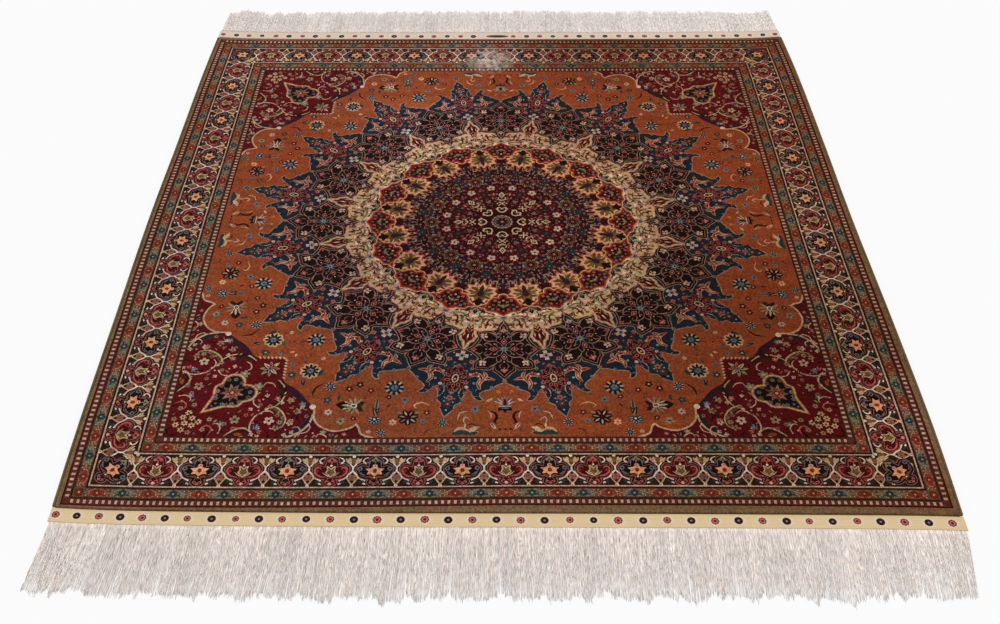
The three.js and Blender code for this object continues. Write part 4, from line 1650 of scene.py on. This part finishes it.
# Round patches of painted light and shade, where the silk's sheen is lighter or darker: the middle, the
# radii where the patch is full and where it ends, in metres, and how much red, green and blue gain.
PAINTED_SHEEN_PATCHES = [
    ((0.36, -0.3, 0.004), 0.06, 0.42, (-0.26, -0.26, -0.26)),
    ((0.21, 0.59, 0.004), 0.06, 0.2, (-0.2, -0.24, -0.28)),
    ((-0.5, 0.57, 0.004), 0.05, 0.2, (0.18, 0.25, 0.28)),
    ((-0.06, 0.56, 0.004), 0.03, 0.16, (0.18, 0.25, 0.3)),
    ((-0.17, 0.31, 0.004), 0.03, 0.22, (0.28, 0.42, 0.55)),
    ((-0.15, -0.1, 0.004), 0.03, 0.22, (-0.2, -0.25, -0.2)),
    ((0.57, -0.44, 0.004), 0.03, 0.16, (0.2, 0.2, 0.26)),
    ((-0.14, -0.42, 0.004), 0.05, 0.2, (-0.15, -0.04, 0.05)),
]
# A pale patch in the middle of the far border, broken up by noise: its middle, its radius and the colour
# mixed in.
PALE_PATCH_AT, PALE_PATCH_RADIUS, PALE_PATCH_COLOUR = (-0.022, 0.523, 0.004), 55 * MM, 0xC9BBB0
KNOT = 2.4 * MM  # drawn twice as coarse as the real knots, so that they show


def silk_pile():
    """Clipped silk knots: soft lustre, rows of colour a little uneven, with painted light and shade of the
    silk's sheen laid into the colour by place.
    """
    silk, shader = new_material(
        "clipped silk pile", {"Roughness": 0.6, "Specular IOR Level": 0.02})
    yarn = add(silk, "VertexColor", {"layer_name": "yarn"})
    here = add(silk, "TexCoord").outputs["Object"]
    rows = add(silk, "Mapping", {"Scale": (3, 60, 1)}, Vector=here)
    abrash = add(silk, "TexNoise", {"Scale": 1, "Detail": 3}, Vector=rows)
    knots = add(silk, "TexVoronoi", {"Scale": 1 / KNOT, "Randomness": 0.6}, Vector=here)
    patch = add(silk, "TexNoise", {"Scale": 40, "Detail": 6}, Vector=here)
    tone = add(silk, "Math", {"operation": "MULTIPLY_ADD", 1: 0.7, 2: 0.65}, _0=abrash)
    spot = add(silk, "SeparateColor", Color=knots.outputs["Color"])
    grain = add(silk, "Math", {"operation": "MULTIPLY_ADD", 1: 0.7, 2: 0.65}, _0=spot)
    shade = add(silk, "Math", {"operation": "MULTIPLY"}, _0=tone, _1=grain)
    tint = add(silk, "VectorMath", {"operation": "MULTIPLY_ADD", 1: (0.5,) * 3, 2: (0.75,) * 3},
               _0=patch.outputs["Color"])
    axes = add(silk, "SeparateXYZ", _0=here)
    # Painted shade: the colour darkens towards the right side, and the painted light below is laid over it.
    right = add(silk, "MapRange", {"interpolation_type": "SMOOTHSTEP", "From Min": -0.1,
                                       "From Max": 0.5}, Value=axes.outputs["X"])
    strength = add(silk, "VectorMath", {"operation": "MULTIPLY_ADD", 1: PAINTED_RIGHT_SHADE, 2: (1,) * 3},
                   _0=right)
    # Painted light: the far half takes a warmer tint.
    far = add(silk, "MapRange", {"interpolation_type": "SMOOTHSTEP", "From Max": 0.25},
              Value=axes.outputs["Y"])
    strength = add(silk, "VectorMath", {"operation": "MULTIPLY_ADD", 1: PAINTED_FAR_TINT}, _0=far, _2=strength)
    # Painted light and shade: round patches made lighter or darker.
    for middle, inner, outer, gain in PAINTED_SHEEN_PATCHES:
        away = add(silk, "VectorMath", {"operation": "DISTANCE", 1: middle}, _0=here)
        share = add(silk, "MapRange", {"interpolation_type": "SMOOTHSTEP", "From Min": outer,
                                           "From Max": inner}, Value=away.outputs["Value"])
        strength = add(silk, "VectorMath", {"operation": "MULTIPLY_ADD", 1: gain}, _0=share, _2=strength)
    yarn_in_painted_light = add(silk, "VectorMath", {"operation": "MULTIPLY"}, _0=yarn, _1=strength)
    tinted = add(silk, "VectorMath", {"operation": "MULTIPLY"}, _0=yarn_in_painted_light, _1=tint)
    dyed = add(silk, "VectorMath", {"operation": "SCALE"}, _0=tinted, Scale=shade)
    # A pale colour mixed in over a noise-broken patch near the middle of the far border.
    reach = add(silk, "VectorMath", {"operation": "DISTANCE", 1: PALE_PATCH_AT}, _0=here)
    pale_noise = add(silk, "TexNoise", {"Scale": 110, "Detail": 3}, Vector=here)
    near = add(silk, "MapRange", {"From Min": PALE_PATCH_RADIUS, "From Max": 0, "To Max": 4},
               Value=reach.outputs["Value"])
    pale_spots = add(silk, "Math", {"operation": "SUBTRACT", "use_clamp": True, 1: 0.36}, _0=pale_noise)
    pale_share = add(silk, "Math", {"operation": "MULTIPLY", "use_clamp": True}, _0=near, _1=pale_spots)
    paled_colour = add(silk, "Mix", {"data_type": "RGBA", 7: (*linear(PALE_PATCH_COLOUR), 1)}, _0=pale_share, _6=dyed)
    bump = add(silk, "Bump", {"Strength": 0.35, "Distance": 0.3 * MM}, Height=knots)
    feed(shader, {"Base Color": paled_colour.outputs[2], "Normal": bump})
    return silk


WAVE_TURN = 0.314  # a wave texture of scale 1 repeats after this length


def dyed_cloth(name, roughness, weave_mm, strength, scale, depth):
    """Plain woven or wrapped yarn whose colour comes from its own dyed faces.

    scale is how fine its uneven dyeing is along each axis, and depth how strong."""
    cloth, shader = new_material(name, {"Roughness": roughness, "Specular IOR Level": 0.15})
    yarn = add(cloth, "VertexColor", {"layer_name": "yarn"})
    here = add(cloth, "TexCoord").outputs["Object"]
    run = add(cloth, "Mapping", {"Scale": scale}, Vector=here)
    streak = add(cloth, "TexNoise", {"Scale": 1}, Vector=run)
    tone = add(cloth, "Math", {"operation": "MULTIPLY_ADD", 1: depth, 2: 1 - depth / 2}, _0=streak)
    dyed = add(cloth, "VectorMath", {"operation": "SCALE"}, _0=yarn, Scale=tone)
    way = "X" if scale[0] > scale[1] else "Y"
    wave = add(cloth, "TexWave", {"bands_direction": way, "Distortion": 1,
                                     "Scale": WAVE_TURN / (weave_mm * MM)}, Vector=here)
    bump = add(cloth, "Bump", {"Strength": strength, "Distance": 0.2 * MM}, Height=wave.outputs["Fac"])
    feed(shader, {"Base Color": dyed, "Normal": bump})
    return cloth


# ---- pieces


def dress(piece, material, node):
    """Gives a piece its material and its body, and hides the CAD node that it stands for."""
    piece.data.materials.append(material)
    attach(piece, "root")
    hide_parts(node)
    return piece


silk = silk_pile()
pile_border = dress(pile_part("pile_border", border_knots()), silk, "pile")
pile_field = dress(pile_part("pile_field", field_knots()), silk, "pile")
medallion_ring = dress(pile_part("pile_medallion_ring", medallion_knots("ring")), silk, "pile")
medallion_middle = dress(pile_part("pile_medallion_middle", medallion_knots("middle")), silk, "pile")
weft = dyed_cloth("flat-woven silk weft", 0.7, 0.9, 0.5, (40, 900, 100), 0.3)
kilim_near = dress(make_kilim("kilim_band_near", "kilim_near", 39, NEAR_DOTS, NEAR_GROUND), weft,
                   "kilim_near")
kilim_far = dress(make_kilim("kilim_band_far", "kilim_far", 43, FAR_DOTS, FAR_GROUND, -6 * MM), weft,
                  "kilim_far")
overcast = dyed_cloth("overcast silk side", 0.65, 0.5, 0.3, (40, 900, 100), 0.4)
cord_left = dress(make_side_cord("overcast_left", "side_cord_left", "left", -1), overcast, "side_cord_left")
cord_right = dress(make_side_cord("overcast_right", "side_cord_right", "right", 1), overcast,
                   "side_cord_right")
warp = dyed_cloth("undyed silk warp", 0.8, 0.4, 0.2, (900, 90, 100), 1.1)
fringe_near = dress(make_fringe("warp_fringe_near", "fringe_near", "kilim_near", NEAR_FRINGE, -1), warp,
                    "fringe_near")
fringe_far = dress(make_fringe("warp_fringe_far", "fringe_far", "kilim_far", FAR_FRINGE, 1), warp,
                   "fringe_far")


# ---- floor, light and camera


CAMERA_TURN = (43.70, 0.62, 0.28)  # down, to the right and rolled, in degrees
CAMERA_PLACE = (-18.6, 1458, 1181.7)  # right of, before and above the medallion's centre, in mm
LENS = (39.67, 36.0)  # focal length and film width, in mm
FLOOR_SIDE = 40  # in metres, out past the edge of the view
LAMP_TURN = (-28, -14, 0)  # in degrees
LAMP_WIDTH = 35  # degrees across, for a soft shadow


def make_floor():
    """A plain white floor that still takes the rug's shadow."""
    bpy.ops.mesh.primitive_plane_add(size=FLOOR_SIDE, location=(0, 0, -0.02 * MM))
    floor = bpy.context.active_object
    floor.name = "floor"
    paper, shader = new_material("white studio floor", {
        "Base Color": (0.93, 0.93, 0.93, 1), "Roughness": 0.9, "Specular IOR Level": 0.0})
    seen = add(paper, "LightPath").outputs
    glow = add(paper, "Emission")
    first = add(paper, "Math", {"operation": "MAXIMUM"}, _0=seen["Is Camera Ray"],
                _1=seen["Is Glossy Ray"])
    second = add(paper, "Math", {"operation": "MAXIMUM"}, _0=first, _1=seen["Is Transmission Ray"])
    share = add(paper, "Math", {"operation": "MULTIPLY", 1: 0.6}, _0=second)
    mixed = add(paper, "MixShader", Fac=share, _1=shader, _2=glow)
    feed(paper.node_tree.nodes["Material Output"], {"Surface": mixed})
    floor.data.materials.append(paper)


def make_light():
    """Even studio light: a white surround and one wide soft lamp from behind and above."""
    world = bpy.data.worlds.new("studio")
    bpy.context.scene.world = world
    world.use_nodes = True
    sky = world.node_tree.nodes["Background"]
    sky.inputs["Color"].default_value = (1, 1, 1, 1)
    sky.inputs["Strength"].default_value = 0.6
    lamp = bpy.data.lights.new("soft lamp", "SUN")
    lamp.energy = 1.4
    lamp.angle = math.radians(LAMP_WIDTH)
    holder = bpy.data.objects.new("soft lamp", lamp)
    holder.rotation_euler = [math.radians(angle) for angle in LAMP_TURN]
    bpy.context.scene.collection.objects.link(holder)


def make_camera():
    """A 40 mm lens about 1.5 m before the medallion's centre and 1.2 m above it."""
    pitch, yaw, roll = (math.radians(angle) for angle in CAMERA_TURN)
    forward = Vector((math.sin(yaw) * math.cos(pitch), math.cos(yaw) * math.cos(pitch), -math.sin(pitch)))
    right = Vector((math.cos(yaw), -math.sin(yaw), 0))
    up = right.cross(forward)
    across = right * math.cos(roll) + up * math.sin(roll)
    upright = up * math.cos(roll) - right * math.sin(roll)
    data = bpy.data.cameras.new("camera")
    data.lens, data.sensor_width = LENS
    camera = bpy.data.objects.new("camera", data)
    turn = Matrix((across, upright, -forward)).transposed().to_4x4()
    aside, back, height = CAMERA_PLACE
    place = Vector((chart_origin[0] + aside * MM, chart_origin[1] - back * MM, pile_high[2] + height * MM))
    camera.matrix_world = Matrix.Translation(place) @ turn
    bpy.context.scene.collection.objects.link(camera)
    bpy.context.scene.camera = camera


make_floor()
make_light()
make_camera()
bpy.context.scene.view_settings.view_transform = "Standard"
